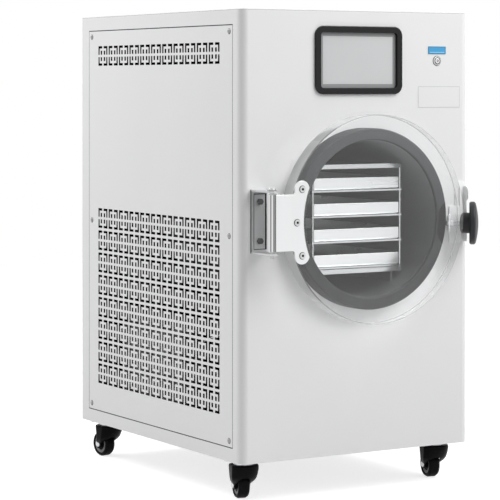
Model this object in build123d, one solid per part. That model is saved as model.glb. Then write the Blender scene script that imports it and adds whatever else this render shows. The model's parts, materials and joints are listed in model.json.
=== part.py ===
from build123d import *
import os
from math import cos, pi, radians, sin, sqrt

# Upright laboratory freeze dryer on four swivel casters. Millimetres, +Z up.
# The origin is on the floor under the middle of the machine; the door faces -Y.

# Cabinet
CAB_W = 494.0
CAB_D = 623.0
CAB_H = 800.0
CASTER_H = 73.0            # floor to the underside of the cabinet
SHEET = 1.5
FRONT_CORNER_R = 16.0
REAR_CORNER_R = 4.0
REAR_LIP = 16.0            # folded edge round the open back
COVER_RIM = 6.0            # how far the lid's rim drops inside the shell
SEAT_GAP = 0.2             # between pieces that are fitted by hand
RUN_GAP = 0.05             # radial clearance of a turning or sliding fit
SHIM_GAP = 0.3             # end play beside a turning piece
PAST = 1.0                 # how far a cutting shape runs past a face

# Side panels with their vents, measured from the front and the underside
PANEL_FRONT = 28.5
PANEL_REST = 33.0          # from the panel's back edge to the cabinet's back
PANEL_LOW = 24.5
PANEL_DROP = 27.0          # from the cabinet's top
SEAM = 1.2
LEDGE = 20.0
PANEL_SCREW_INSET = 12.5
PANEL_SCREW_R = 1.9
PANEL_HEAD_R = 3.4
PANEL_HEAD_H = 1.6
PANEL_SCREW_L = 3.0        # past the ledge
CELL_COLUMNS = 11
CELL_ROWS = 8
CELL_WEB = 5.1             # steel left between two cells
CELL_SLOT = 4.3
VENT_INSET = 46.25         # from the panel's front edge
VENT_REST = 40.75          # to the panel's back edge
VENT_LOW = 80.0
TOP_VENT_DROP = 96.5

# Chamber, its neck and its seal
CHAMBER_DROP = 374.0       # from the cabinet's top to the chamber's middle
CHAMBER_R = 140.5
CHAMBER_WALL = 3.0
CHAMBER_DEPTH = 392.0
NECK_OUT = 28.0            # how far the neck stands out of the front
FLANGE_R = 172.0
FLANGE_T = 3.0
JACKET_T = 28.0
JACKET_CLEAR = 0.5
GASKET_R = 162.5
GASKET_FACE = 33.7
GASKET_LIP_R = 141.1
GASKET_EDGE = 2.0
PAD_AWAY = 191.5           # from the chamber's middle
PAD_R = 51.8
PAD_T = 2.0
PAD_RIM = 1.2
PAD_INSET = 4.2

# Door
DOOR_R = 187.0
DOOR_T = 32.0
DOOR_BACK = 34.0           # rear face of the disc, forward of the front panel
DOOR_EDGE = 1.5

# Door hinge, on the left
HINGE_AWAY = 220.0         # from the chamber's middle to the pin
HINGE_OUT = 60.0
HINGE_PLATE = 3.0
HINGE_LEAF_W = 30.5
HINGE_LEAF_PAST = 6.5      # how far the leaf runs past the pin, outward
HINGE_HALF = 56.0
HINGE_ROOT = 6.0           # straight part of the ears before they taper
HINGE_PIN_R = 4.0
HINGE_PIN_TAIL = 6.0
HINGE_NOSE_R = 10.0
HINGE_HEAD_R = 7.0
HINGE_HEAD_H = 5.0
KNUCKLE_R = 8.5
LEAF_T = 4.0
LEAF_HALF = 49.2
LEAF_ARC_R = 158.0
LOBE_R = 15.0
LOBE_UP = 58.0
LOBE_AWAY = 164.0
LEAF_SCREW_AWAY = 174.7
LEAF_SCREW_R = 3.0
LEAF_HEAD_R = 5.6
LEAF_HEAD_H = 2.0
LEAF_SOCKET_R = 2.6
LEAF_SOCKET_DEEP = 1.5
LEAF_SCREW_L = 22.0
HINGE_BOLT_IN = 9.5        # from the pin, toward the door
HINGE_BOLT_UP = 34.6
HINGE_BOLT_R = 3.0
HINGE_BOLT_FLAT = 10.0
HINGE_BOLT_H = 5.0
HINGE_BOLT_L = 8.0         # past the panel

# Clamp, on the right: a screw through a bent bracket, leaning out to the right
CLAMP_LEAN = 53.13         # between the screw and the straight-forward direction
CLAMP_DROP = 15.0          # below the chamber's middle
CLAMP_AWAY = 184.6         # where the screw crosses the bracket's slanted flange
CLAMP_OUT = 12.0
CLAMP_PLATE = 2.4
CLAMP_BASE_IN = 7.2        # from that crossing to the base's inner edge
CLAMP_BASE_W = 45.2
CLAMP_BASE_DOWN = 36.0
CLAMP_BASE_UP = 31.0
CLAMP_EAR_W = 31.0
CLAMP_EAR_UP = 75.0
CLAMP_SIDE_OUT = 15.0
CLAMP_SIDE_UP = 67.0
CLAMP_SIDE_LOW_OUT = 9.0   # lower beside the knob, whose cap passes over it
CLAMP_FLANGE_L = 24.0
CLAMP_FLANGE_HALF = 16.0
CLAMP_SCREW_IN = 19.5      # from the bracket's outer edge
CLAMP_SCREW_UPS = (-17.0, 14.0, 63.5)
CLAMP_BOLT_R = 2.0
CLAMP_BOLT_L = 6.0         # past the panel
CLAMP_HEAD_R = 3.8
CLAMP_HEAD_H = 2.2
STUD_R = 4.0
STUD_TAIL = 8.0
STUD_CHAMFER = 0.8
NUT_FLAT = 13.0
NUT_H = 6.5
HUB_START = 20.0
HUB_R = 19.0
HUB_L = 24.5
HUB_CHAMFER = 1.5
CAP_R = 39.5
CAP_T = 13.0
CAP_ROUND = 5.0

# Display and push button
BEZEL_DROP = 89.6          # from the cabinet's top to the display's middle
BEZEL_W = 188.0
BEZEL_H = 123.0
BEZEL_CORNER = 17.0
BEZEL_FRAME = 11.3
BEZEL_OUT = 5.0
BEZEL_EDGE = 1.5
BEZEL_IN = 8.0
SCREEN_W = 152.0
SCREEN_H = 87.0
SCREEN_BACK = 1.0          # the module's face lies this far behind the panel's face
SCREEN_T = 12.0
GLASS_T = 0.8
BUTTON_REST = 72.5         # from the cabinet's right side
BUTTON_RING_R = 8.3
BUTTON_RING_OUT = 2.0
BUTTON_BARREL_R = 6.5
BUTTON_BARREL_L = 18.0
BUTTON_R = 5.2
BUTTON_OUT = 2.6
BUTTON_TRAVEL = 2.0
BUTTON_NUT_R = 9.5
BUTTON_NUT_H = 3.0
TAG_UP = 19.4              # over the button
TAG_W = 40.0
TAG_H = 14.3
TAG_T = 0.6
TAG_CORNER = 1.0

# Rack and trays in the chamber
RACK_HALF = 97.0
RACK_FRONT = 16.0          # behind the panel's face
RACK_L = 330.0
RACK_DOWN = 100.5          # from the chamber's middle
RACK_H = 197.0
RACK_PLATE = 2.0
RACK_ROD_R = 2.0
RACK_ROD_INSET = 2.5
RACK_LIP = 8.0             # folded edge across the front of each plate
RACK_FOOT_W = 24.0
SHELF_T = 3.0
SHELF_PITCH = 46.0
SHELF_RISE = 9.5           # from the rack's underside to the lowest shelf
SHELVES = 4
TRAY_HALF = 91.7
TRAY_H = 22.0
TRAY_WALL = 1.0
TRAY_ROUND = 4.0           # outer radius of its lower edges
TRAY_SETBACK = 2.0
TRAY_L = 318.0

# Casters
WHEEL_R = 24.5
WHEEL_W = 21.0
WHEEL_RIM = 6.0
WHEEL_SINK = 3.0
WHEEL_EDGE_R = 2.5
WHEEL_EDGE_W = 4.0
TRAIL = 18.0
CASTER_PLATE = 58.0
CASTER_PLATE_T = 2.5
CASTER_CORNER = 5.0
CASTER_BOLT_AWAY = 22.5
CASTER_BOLT_R = 3.0
CASTER_BOLT_FLAT = 10.0
CASTER_BOLT_H = 3.0
CASTER_BOLT_L = 4.0        # past the floor of the pan
CASTER_SIDE = 39.0         # kingpin to the cabinet's side
CASTER_FRONT = 56.0        # kingpin to its front
CASTER_REAR = 44.0         # kingpin to its back
CASTER_TURNS = {"front_left": -14.0, "front_right": -12.0, "rear_left": 8.0, "rear_right": 4.0}
KINGPIN_R = 4.0
RACE_R = 19.0
RACE_H = 7.0
YOKE_TOP = 3.0
YOKE_R = 25.0
YOKE_FRONT = 20.8
YOKE_BACK = 20.8
YOKE_THROAT = 17.0
YOKE_SHOULDER = 14.0
YOKE_SKIRT = 10.0          # how deep the drawn rim hangs round the yoke's top
YOKE_WALL = 2.2
YOKE_END_R = 9.0
AXLE_R = 3.5
AXLE_HEAD_R = 6.0
AXLE_HEAD_H = 1.6
HUB_SIDE_R = 8.0
HUB_SIDE_OUT = 0.8
KINGPIN_HEAD_R = 7.0
KINGPIN_HEAD_H = 2.2

# Cold side: compressor, condenser and fan
COMP_X = 330.0
COMP_Y = 450.0
COMP_R = 75.0
COMP_ROOM = 73.0           # between its top and the chamber's jacket
COMP_DOME = 42.0
COMP_FOOT = 150.0
COMP_FOOT_T = 3.0
COMP_MOUNT_R = 11.0
COMP_MOUNT_H = 14.0
CORE_X = 40.0
CORE_T = 44.0
CORE_Y = 400.0
CORE_L = 230.0
CORE_H = 200.0
CORE_FINS = 12
CORE_TUBES = 3
FIN_T = 1.2
FIN_SETBACK = 6.0
CORE_TUBE = 8.0
SHROUD_T = 14.0
SHROUD_WALL = 2.0
FAN_R = 84.0
FAN_TIP = 3.0
FAN_HUB_R = 24.0
FAN_HUB_L = 20.0
FAN_BLADES = 5
FAN_BLADE_T = 1.6
FAN_BLADE_W = 42.0
FAN_ROOT = 4.0
FAN_PITCH = 28.0
MOTOR_R = 32.0
MOTOR_L = 40.0
MOTOR_SHAFT_R = 4.0
MOTOR_CLEAR = 2.0
STRUT_W = 8.0
STRUT_T = 3.0
DRIER_R = 14.0
DRIER_L = 90.0
DRIER_FOOT_H = 12.0
BOX_W = 220.0
BOX_H = 130.0
BOX_D = 60.0
BOX_GAP = 45.0
BOX_HANG = 12.0
PAN_WALL = 14.0
PAN_T = 2.0

# Back: pump port, drain and power inlet
PORT_R = 20.0
PORT_FLANGE_T = 4.0
PORT_OUT = 32.0
PORT_TUBE_R = 14.0
PORT_BORE_R = 12.0
PORT_BASE = 6.0
DRAIN_X = 120.0
DRAIN_Z = 120.0
DRAIN_R = 6.0
DRAIN_BORE_R = 4.5
DRAIN_BACK = 330.0
DRAIN_BEND = 24.0
DRAIN_RUN = 61.5           # straight run before the rear panel
VALVE_R = 10.0
VALVE_L = 22.0
BARB_R = 6.0
BARB_L = 10.0
BARB_WALL = 2.0
STEM_R = 3.0
STEM_H = 6.0
LEVER_L = 46.0
LEVER_W = 9.0
LEVER_T = 3.0
INLET_REST = 114.0         # from the cabinet's right side
INLET_Z = 120.0
INLET_W = 50.0
INLET_H = 28.0
INLET_OUT = 3.0
INLET_IN = 24.0
INLET_EAR = 6.0
INLET_WALL = 2.0
INLET_CORNER = 3.0
INLET_PIN_PITCH = 8.0
INLET_PIN_T = 2.0
INLET_PIN_W = 6.0
REAR_SLOTS = 8
REAR_SLOT_W = 180.0
REAR_SLOT_H = 5.0
REAR_SLOT_PITCH = 16.0
REAR_SLOT_DROP = 180.0

# Places that follow from the sizes above, from the cabinet's left side, front and underside
PANEL_BACK = CAB_D - PANEL_REST
PANEL_HIGH = CAB_H - PANEL_DROP
VENT_FRONT = PANEL_FRONT + VENT_INSET
VENT_BACK = PANEL_BACK - VENT_REST
CELL_PITCH = (VENT_BACK - VENT_FRONT + CELL_WEB) / CELL_COLUMNS
CELL = CELL_PITCH - CELL_WEB
VENT_MIDDLE = (VENT_FRONT + VENT_BACK) / 2
TOP_VENT_LOW = CAB_H - TOP_VENT_DROP
CHAMBER_X = CAB_W / 2
CHAMBER_Z = CAB_H - CHAMBER_DROP
JACKET_R = CHAMBER_R + CHAMBER_WALL + JACKET_CLEAR + JACKET_T
DOOR_FACE = DOOR_BACK + DOOR_T
PAD_X = CHAMBER_X + PAD_AWAY
HINGE_X = CHAMBER_X - HINGE_AWAY
HINGE_LEAF_X0 = HINGE_X - HINGE_LEAF_PAST
HINGE_LEAF_X1 = HINGE_LEAF_X0 + HINGE_LEAF_W
HINGE_LOW = CHAMBER_Z - HINGE_HALF
HINGE_HIGH = CHAMBER_Z + HINGE_HALF
HINGE_BOLT_X = HINGE_X + HINGE_BOLT_IN
LOBE_X = CHAMBER_X - LOBE_AWAY
LEAF_SCREW_X = CHAMBER_X - LEAF_SCREW_AWAY
CLAMP_X = CHAMBER_X + CLAMP_AWAY
CLAMP_Z = CHAMBER_Z - CLAMP_DROP
CLAMP_X0 = CLAMP_X + CLAMP_BASE_IN
CLAMP_X1 = CLAMP_X0 + CLAMP_BASE_W
CLAMP_LOW = CLAMP_Z - CLAMP_BASE_DOWN
CLAMP_HIGH = CLAMP_Z + CLAMP_BASE_UP
CLAMP_EAR_X0 = CLAMP_X1 - CLAMP_EAR_W
CLAMP_EAR_HIGH = CLAMP_Z + CLAMP_EAR_UP
CLAMP_SIDE_HIGH = CLAMP_Z + CLAMP_SIDE_UP
CLAMP_SCREW_X = CLAMP_X1 - CLAMP_SCREW_IN
CLAMP_SCREWS_Z = [CLAMP_Z + up for up in CLAMP_SCREW_UPS]
BEZEL_X = CHAMBER_X
BEZEL_Z = CAB_H - BEZEL_DROP
BUTTON_X = CAB_W - BUTTON_REST
BUTTON_Z = BEZEL_Z
TAG_X = BUTTON_X
TAG_Z = BUTTON_Z + TAG_UP
RACK_LOW = CHAMBER_Z - RACK_DOWN
RACK_HIGH = RACK_LOW + RACK_H
SHELF_FIRST = RACK_LOW + SHELF_RISE
COMP_BASE = PAN_T + COMP_MOUNT_H
COMP_H = CHAMBER_Z - JACKET_R - COMP_ROOM - COMP_BASE
CORE_BASE = PAN_T
DRAIN_TURN_Z = (CHAMBER_Z - CHAMBER_R + DRAIN_Z) / 2
DRAIN_TURN_Y = CAB_D - SHEET - DRAIN_RUN
INLET_X = CAB_W - INLET_REST
REAR_SLOT_LOW = CAB_H - REAR_SLOT_DROP
SHROUD_X = CORE_X + CORE_T + SHIM_GAP
FAN_Z = CORE_BASE + CORE_H / 2
RACE_LOW = CASTER_H - CASTER_PLATE_T - RACE_H
YOKE_HIGH = RACE_LOW - SHIM_GAP
CLAMP_SIN = sin(radians(CLAMP_LEAN))
CLAMP_COS = cos(radians(CLAMP_LEAN))
CAP_END = HUB_START + HUB_L + CAP_T
FRONT_REACH = CLAMP_OUT + CAP_END * CLAMP_COS + (CAP_R - CAP_ROUND / 2) * CLAMP_SIN
Y_FRONT = (FRONT_REACH - CAB_D - PORT_OUT) / 2
X_LEFT = -CAB_W / 2
Y_BACK = Y_FRONT + CAB_D
FRONT = Plane(origin=(X_LEFT, Y_FRONT, CASTER_H), x_dir=(1, 0, 0), z_dir=(0, -1, 0))
BODY = Location((X_LEFT, Y_FRONT, CASTER_H))
BACK_FACE = CAB_D - SHEET
REAR = Plane(origin=(X_LEFT, Y_FRONT + BACK_FACE, CASTER_H), x_dir=(1, 0, 0), z_dir=(0, -1, 0))
CLAMP_AXIS = Vector(CLAMP_SIN, -CLAMP_COS, 0)
CLAMP_FOOT = Vector(X_LEFT + CLAMP_X, Y_FRONT - CLAMP_OUT, CASTER_H + CLAMP_Z)
CLAMP = Plane(origin=CLAMP_FOOT, x_dir=(0, 0, 1), z_dir=CLAMP_AXIS)


def block(x0, x1, y0, y1, z0, z1):
    """Box between two corners, from the cabinet's lower left front corner."""
    centre = Pos((x0 + x1) / 2, (y0 + y1) / 2, (z0 + z1) / 2)
    return BODY * centre * Box(x1 - x0, y1 - y0, z1 - z0)


def on_front(sketch, x, z, start, end):
    """A flat shape at a point of the front panel, from one height over it to another."""
    return extrude(FRONT * Pos(x, z, start) * sketch, end - start)


def through_front(sketch, x, z):
    """A cutting shape that passes the front sheet, even where its corner curves away."""
    return on_front(sketch, x, z, -FRONT_CORNER_R, PAST)


def on_clamp(sketch, start, end):
    """A flat shape across the clamp screw, between two places along it."""
    return extrude(CLAMP * Pos(0, 0, start) * sketch, end - start)


def on_back(sketch, x, z, start, end):
    """A flat shape at a point of the rear panel, from one height behind it to another."""
    return extrude(REAR * Pos(x, z, -end) * sketch, end - start)


def ring(outer, inner):
    return Circle(outer) - Circle(inner)


def cabinet_plan(inset):
    """Outline of the cabinet seen from above, drawn in by an inset."""
    plan = Rectangle(CAB_W - 2 * inset, CAB_D - 2 * inset)
    front = plan.vertices().group_by(Axis.Y)[0]
    plan = fillet(front, FRONT_CORNER_R - inset)
    back = plan.vertices().group_by(Axis.Y)[-1]
    return fillet(back, REAR_CORNER_R - inset)


def plan_slab(inset, low, high):
    place = BODY * Pos(CAB_W / 2, CAB_D / 2, low)
    return extrude(place * cabinet_plan(inset), high - low)


def side_sketch(front, back, low, high):
    return Pos((front + back) / 2, (low + high) / 2) * Rectangle(back - front, high - low)


def on_side(sketch, right, start, end):
    """A flat shape on a side wall; start and end are depths in from its outer face."""
    face = CAB_W if right else 0
    turn = -1 if right else 1
    plane = Plane(BODY * Location((face + turn * start, 0, 0)))
    wall = Plane(origin=plane.origin, x_dir=(0, 1, 0), z_dir=(1, 0, 0))
    return extrude(wall * sketch, turn * (end - start))


def panel_screw_places():
    inset = PANEL_SCREW_INSET
    middle = (PANEL_LOW + PANEL_HIGH) / 2
    for y in (PANEL_FRONT + inset, PANEL_BACK - inset):
        for z in (PANEL_LOW + inset, middle, PANEL_HIGH - inset):
            yield Pos(y, z)


def vent_cells():
    """Centres of all vent cells of one side, the top row last."""
    for row in range(CELL_ROWS + 1):
        low = TOP_VENT_LOW if row == CELL_ROWS else VENT_LOW + row * CELL_PITCH
        for column in range(CELL_COLUMNS):
            away = (column - (CELL_COLUMNS - 1) / 2) * CELL_PITCH
            yield VENT_MIDDLE + away, low + CELL / 2


def cabinet_shell():
    """Front and both sides in one bent sheet, with lips round the open back."""
    top = CAB_H - SHEET
    shell = plan_slab(0, 0, top) - plan_slab(SHEET, 0, top)
    shell -= block(REAR_LIP, CAB_W - REAR_LIP, CAB_D - 2 * SHEET, CAB_D + PAST, -PAST, CAB_H)
    opening = side_sketch(PANEL_FRONT, PANEL_BACK, PANEL_LOW, PANEL_HIGH)
    edge = LEDGE - 2 * SEAM
    ledge = side_sketch(PANEL_FRONT - edge / 2, PANEL_BACK + edge / 2,
                        PANEL_LOW - edge / 2, PANEL_HIGH + edge / 2)
    ledge -= side_sketch(PANEL_FRONT + LEDGE, PANEL_BACK - LEDGE,
                         PANEL_LOW + LEDGE, PANEL_HIGH - LEDGE)
    ledge -= [place * Circle(PANEL_SCREW_R + RUN_GAP) for place in panel_screw_places()]
    for right in (False, True):
        shell -= on_side(opening, right, -PAST, SHEET + PAST)
        shell += on_side(ledge, right, SHEET, 2 * SHEET)
    shell -= through_front(Circle(CHAMBER_R + CHAMBER_WALL + SEAT_GAP), CHAMBER_X, CHAMBER_Z)
    window = Rectangle(BEZEL_W - 2 * BEZEL_FRAME + 2 * SHEET, BEZEL_H - 2 * BEZEL_FRAME + 2 * SHEET)
    shell -= through_front(window, BEZEL_X, BEZEL_Z)
    shell -= through_front(Circle(BUTTON_BARREL_R + SEAT_GAP), BUTTON_X, BUTTON_Z)
    for z in (CHAMBER_Z - HINGE_BOLT_UP, CHAMBER_Z + HINGE_BOLT_UP):
        shell -= through_front(Circle(HINGE_BOLT_R + RUN_GAP), HINGE_BOLT_X, z)
    for z in CLAMP_SCREWS_Z:
        shell -= through_front(Circle(CLAMP_BOLT_R + RUN_GAP), CLAMP_SCREW_X, z)
    return shell


def top_cover():
    """Lid that closes the cabinet, with a rim that drops inside the shell."""
    cover = plan_slab(0, CAB_H - SHEET, CAB_H)
    low = CAB_H - SHEET - COVER_RIM
    inset = SHEET + SEAT_GAP
    rim = plan_slab(inset, low, CAB_H - SHEET) - plan_slab(inset + SHEET, low, CAB_H - SHEET)
    rim -= block(0, CAB_W, CAB_D - 3 * SHEET, CAB_D, 0, CAB_H - SHEET)
    return cover + rim


def base_pan():
    """Tray-shaped floor that carries the works and the casters."""
    inset = SHEET + SEAT_GAP
    end = CAB_D - 2 * SHEET - SEAT_GAP
    pan = plan_slab(inset, 0, PAN_WALL) - plan_slab(inset + PAN_T, PAN_T, PAN_WALL + PAST)
    pan -= block(0, CAB_W, end, CAB_D, -PAST, PAN_WALL + PAST)
    pan += block(REAR_LIP, CAB_W - REAR_LIP, end - PAN_T, end, 0, PAN_WALL)
    hole = Cylinder(CASTER_BOLT_R + RUN_GAP, 4 * PAN_T)
    return pan - [Pos(x, y, CASTER_H) * hole for x, y in caster_bolt_places()]


def rear_panel():
    """Back sheet inside the lips, pierced for the port, the drain and the inlet."""
    panel = block(3 * SHEET, CAB_W - 3 * SHEET, BACK_FACE - SHEET, BACK_FACE,
                  SHEET, CAB_H - SHEET - SEAT_GAP)
    holes = Pos(CHAMBER_X, CHAMBER_Z) * Circle(PORT_TUBE_R + SEAT_GAP)
    holes += Pos(DRAIN_X, DRAIN_Z) * Circle(DRAIN_R + SEAT_GAP)
    holes += Pos(INLET_X, INLET_Z) * Rectangle(INLET_W - 2 * INLET_EAR, INLET_H - 2 * INLET_WALL)
    for row in range(REAR_SLOTS):
        z = REAR_SLOT_LOW + row * REAR_SLOT_PITCH
        holes += Pos(CHAMBER_X, z) * Rectangle(REAR_SLOT_W, REAR_SLOT_H)
    return panel - extrude(REAR * Pos(0, 0, -PAST) * holes, SHEET + 2 * PAST)


def side_panel(right):
    """Flush side panel with its grille; each cell has two upright slots."""
    panel = side_sketch(PANEL_FRONT + SEAM, PANEL_BACK - SEAM, PANEL_LOW + SEAM, PANEL_HIGH - SEAM)
    panel -= [place * Circle(PANEL_SCREW_R + RUN_GAP) for place in panel_screw_places()]
    slot = Rectangle(CELL_SLOT, CELL)
    away = (CELL - CELL_SLOT) / 2
    slots = [Pos(y + side, z) * slot for y, z in vent_cells() for side in (-away, away)]
    return on_side(panel - slots, right, 0, SHEET)


def side_panel_screws():
    """Twelve pan-head screws, six to a side."""
    screws = []
    for right in (False, True):
        for place in panel_screw_places():
            head = on_side(place * Circle(PANEL_HEAD_R), right, -PANEL_HEAD_H, 0)
            outer = head.faces().sort_by(Axis.X)[-1 if right else 0]
            head = chamfer(outer.edges(), PANEL_HEAD_H / 2)
            shank = on_side(place * Circle(PANEL_SCREW_R), right, 0, 2 * SHEET + PANEL_SCREW_L)
            screws.append(head + shank)
    return Compound(children=screws)


def chamber_turned(points):
    """Turn a closed outline, given as radius and depth behind the panel, about the chamber."""
    profile = make_face(Polyline(*[(r, -depth) for r, depth in points], close=True))
    upright = Plane(origin=(0, 0, 0), x_dir=(1, 0, 0), z_dir=(0, 0, 1))
    solid = revolve(upright * profile, Axis.Y)
    flip = Location((X_LEFT + CHAMBER_X, Y_FRONT, CASTER_H + CHAMBER_Z))
    return flip * (Rot(180, 0, 0) * solid)


def chamber_drum():
    """Drawn stainless drum: neck, bolted flange, wall and closed back with two stubs."""
    inner = CHAMBER_R
    outer = inner + CHAMBER_WALL
    back = CHAMBER_DEPTH
    drum = chamber_turned([
        (inner, -NECK_OUT), (outer, -NECK_OUT), (outer, SHEET), (FLANGE_R, SHEET),
        (FLANGE_R, SHEET + FLANGE_T), (outer, SHEET + FLANGE_T), (outer, back + CHAMBER_WALL),
        (0, back + CHAMBER_WALL), (0, back), (inner, back)])
    port = FRONT * Pos(CHAMBER_X, CHAMBER_Z, -back - CHAMBER_WALL / 2) * Cylinder(
        PORT_BORE_R, 2 * CHAMBER_WALL)
    drain = BODY * Pos(CHAMBER_X, DRAIN_BACK, CHAMBER_Z - inner) * Cylinder(
        DRAIN_BORE_R, 4 * CHAMBER_WALL)
    return drum - port - drain


def chamber_insulation():
    """Foam jacket round the drum, foamed over the cooling coil."""
    inner = JACKET_R - JACKET_T
    front = SHEET + FLANGE_T + JACKET_CLEAR
    back = CHAMBER_DEPTH + CHAMBER_WALL + JACKET_CLEAR
    jacket = chamber_turned([
        (inner, front), (JACKET_R, front), (JACKET_R, back + JACKET_T), (0, back + JACKET_T),
        (0, back), (inner, back)])
    port = FRONT * Pos(CHAMBER_X, CHAMBER_Z, -back) * Cylinder(
        PORT_TUBE_R + SEAT_GAP, 3 * JACKET_T)
    drain = BODY * Pos(CHAMBER_X, DRAIN_BACK, CHAMBER_Z - inner) * Cylinder(
        DRAIN_R + SEAT_GAP, 3 * JACKET_T)
    return jacket - port - drain


def door_gasket():
    """Thick rubber sleeve on the neck, with a lip that turns in over the neck's end."""
    neck = CHAMBER_R + CHAMBER_WALL + SEAT_GAP
    gasket = chamber_turned([
        (neck, -SEAT_GAP), (neck, -NECK_OUT - SEAT_GAP), (GASKET_LIP_R, -NECK_OUT - SEAT_GAP),
        (GASKET_LIP_R, -GASKET_FACE + GASKET_EDGE), (GASKET_LIP_R + GASKET_EDGE, -GASKET_FACE),
        (GASKET_R - GASKET_EDGE, -GASKET_FACE), (GASKET_R, -GASKET_FACE + GASKET_EDGE),
        (GASKET_R, -SEAT_GAP)])
    return gasket - latch_pad_blank(SEAT_GAP)


def latch_pad_blank(grow):
    """Lens-shaped pad under the clamp's side of the door, let into the gasket's face."""
    lens = ring(GASKET_R - PAD_RIM + grow, GASKET_LIP_R + PAD_INSET - grow)
    lens &= Pos(PAD_X - CHAMBER_X, CLAMP_Z - CHAMBER_Z) * Circle(PAD_R + grow)
    return on_front(lens, CHAMBER_X, CHAMBER_Z, GASKET_FACE - PAD_T - grow,
                    GASKET_FACE + (PAST if grow else 0))


def door_disc():
    """Thick clear disc with a small chamfer round both faces."""
    disc = on_front(Circle(DOOR_R), CHAMBER_X, CHAMBER_Z, DOOR_BACK, DOOR_BACK + DOOR_T)
    disc = chamfer(disc.edges().filter_by(GeomType.CIRCLE), DOOR_EDGE)
    for x, z in leaf_screw_places():
        disc -= on_front(Circle(LEAF_SCREW_R + RUN_GAP), x, z, DOOR_FACE - LEAF_SCREW_L,
                         DOOR_FACE + PAST)
    return disc


def leaf_screw_places():
    return [(LOBE_X, CHAMBER_Z + LOBE_UP), (LEAF_SCREW_X, CHAMBER_Z), (LOBE_X, CHAMBER_Z - LOBE_UP)]


def door_leaf():
    """Stainless leaf: a rolled knuckle, a plate and two lobes round a concave edge."""
    plate = Pos((HINGE_X + LOBE_X + LOBE_R) / 2, CHAMBER_Z) * Rectangle(
        LOBE_X + LOBE_R - HINGE_X, 2 * LEAF_HALF)
    shape = plate - Pos(LOBE_X + LOBE_R, CHAMBER_Z) * Rectangle(2 * LOBE_R, 2 * LEAF_HALF)
    shape += Pos(LOBE_X - LOBE_R / 2, CHAMBER_Z) * Rectangle(LOBE_R * 2, 2 * LOBE_UP)
    for up in (-LOBE_UP, LOBE_UP):
        shape += Pos(LOBE_X, CHAMBER_Z + up) * Circle(LOBE_R)
    shape -= Pos(CHAMBER_X, CHAMBER_Z) * Circle(LEAF_ARC_R)
    leaf = on_front(shape, 0, 0, DOOR_FACE, DOOR_FACE + LEAF_T)
    spine = BODY * Pos(HINGE_X, -HINGE_OUT, CHAMBER_Z)
    leaf += spine * Cylinder(KNUCKLE_R, 2 * LEAF_HALF)
    bore = spine * Cylinder(HINGE_PIN_R + RUN_GAP, 2 * LEAF_HALF + PAST)
    for x, z in leaf_screw_places():
        leaf -= on_front(Circle(LEAF_SCREW_R + RUN_GAP), x, z, DOOR_FACE - PAST,
                         DOOR_FACE + LEAF_T + PAST)
    return leaf - bore


def door_leaf_screws():
    """Three socket-head screws that hold the leaf to the disc."""
    screws = []
    top = DOOR_FACE + LEAF_T
    for x, z in leaf_screw_places():
        screw = on_front(Circle(LEAF_HEAD_R), x, z, top, top + LEAF_HEAD_H)
        screw += on_front(Circle(LEAF_SCREW_R), x, z, DOOR_FACE - LEAF_SCREW_L, top)
        screw -= on_front(RegularPolygon(LEAF_SOCKET_R, 6), x, z,
                          top + LEAF_HEAD_H - LEAF_SOCKET_DEEP, top + LEAF_HEAD_H + PAST)
        screws.append(screw)
    return Compound(children=screws)


def hinge_bracket():
    """Bent stainless bracket: a leaf on the panel and two ears that hold the pin."""
    height = HINGE_HIGH - HINGE_LOW
    leaf = on_front(Rectangle(HINGE_LEAF_X1 - HINGE_LEAF_X0, height),
                    (HINGE_LEAF_X0 + HINGE_LEAF_X1) / 2, CHAMBER_Z, 0, HINGE_PLATE)
    root = HINGE_PLATE + HINGE_ROOT
    ear = make_face(Polyline(
        (HINGE_LEAF_X0, 0), (HINGE_LEAF_X1, 0), (HINGE_LEAF_X1, root),
        (HINGE_X + HINGE_NOSE_R, HINGE_OUT), (HINGE_X - HINGE_NOSE_R, HINGE_OUT),
        (HINGE_LEAF_X0 - HINGE_PLATE, root), close=True))
    ear += Pos(HINGE_X, HINGE_OUT) * Circle(HINGE_NOSE_R)
    ear -= Pos(HINGE_X, HINGE_OUT) * Circle(HINGE_PIN_R + RUN_GAP)
    shelf = Plane(origin=(X_LEFT, Y_FRONT, CASTER_H), x_dir=(1, 0, 0), z_dir=(0, 0, -1))
    for z in (HINGE_LOW + HINGE_PLATE, HINGE_HIGH):
        leaf += extrude(shelf * Pos(0, 0, -z) * ear, HINGE_PLATE)
    for z in (-HINGE_BOLT_UP, HINGE_BOLT_UP):
        leaf -= on_front(Circle(HINGE_BOLT_R + RUN_GAP), HINGE_BOLT_X, CHAMBER_Z + z,
                         -PAST, HINGE_PLATE + PAST)
    return leaf


def hinge_bolts():
    """Two hex bolts through the hinge's leaf and the panel."""
    bolts = []
    for z in (CHAMBER_Z - HINGE_BOLT_UP, CHAMBER_Z + HINGE_BOLT_UP):
        bolt = on_front(RegularPolygon(HINGE_BOLT_FLAT / 2, 6, major_radius=False),
                        HINGE_BOLT_X, z, HINGE_PLATE, HINGE_PLATE + HINGE_BOLT_H)
        bolt += on_front(Circle(HINGE_BOLT_R), HINGE_BOLT_X, z, -SHEET - HINGE_BOLT_L, HINGE_PLATE)
        bolts.append(bolt)
    return Compound(children=bolts)


def hinge_pin():
    """Pin with a round head, hanging through both ears and the knuckle."""
    low = HINGE_LOW - HINGE_PIN_TAIL
    pin = BODY * Pos(HINGE_X, -HINGE_OUT, (low + HINGE_HIGH) / 2) * Cylinder(
        HINGE_PIN_R, HINGE_HIGH - low)
    head = BODY * Pos(HINGE_X, -HINGE_OUT, HINGE_HIGH + HINGE_HEAD_H / 2) * Cylinder(
        HINGE_HEAD_R, HINGE_HEAD_H)
    head = fillet(head.edges().group_by(Axis.Z)[-1], HINGE_HEAD_H / 2)
    return pin + head


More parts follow.
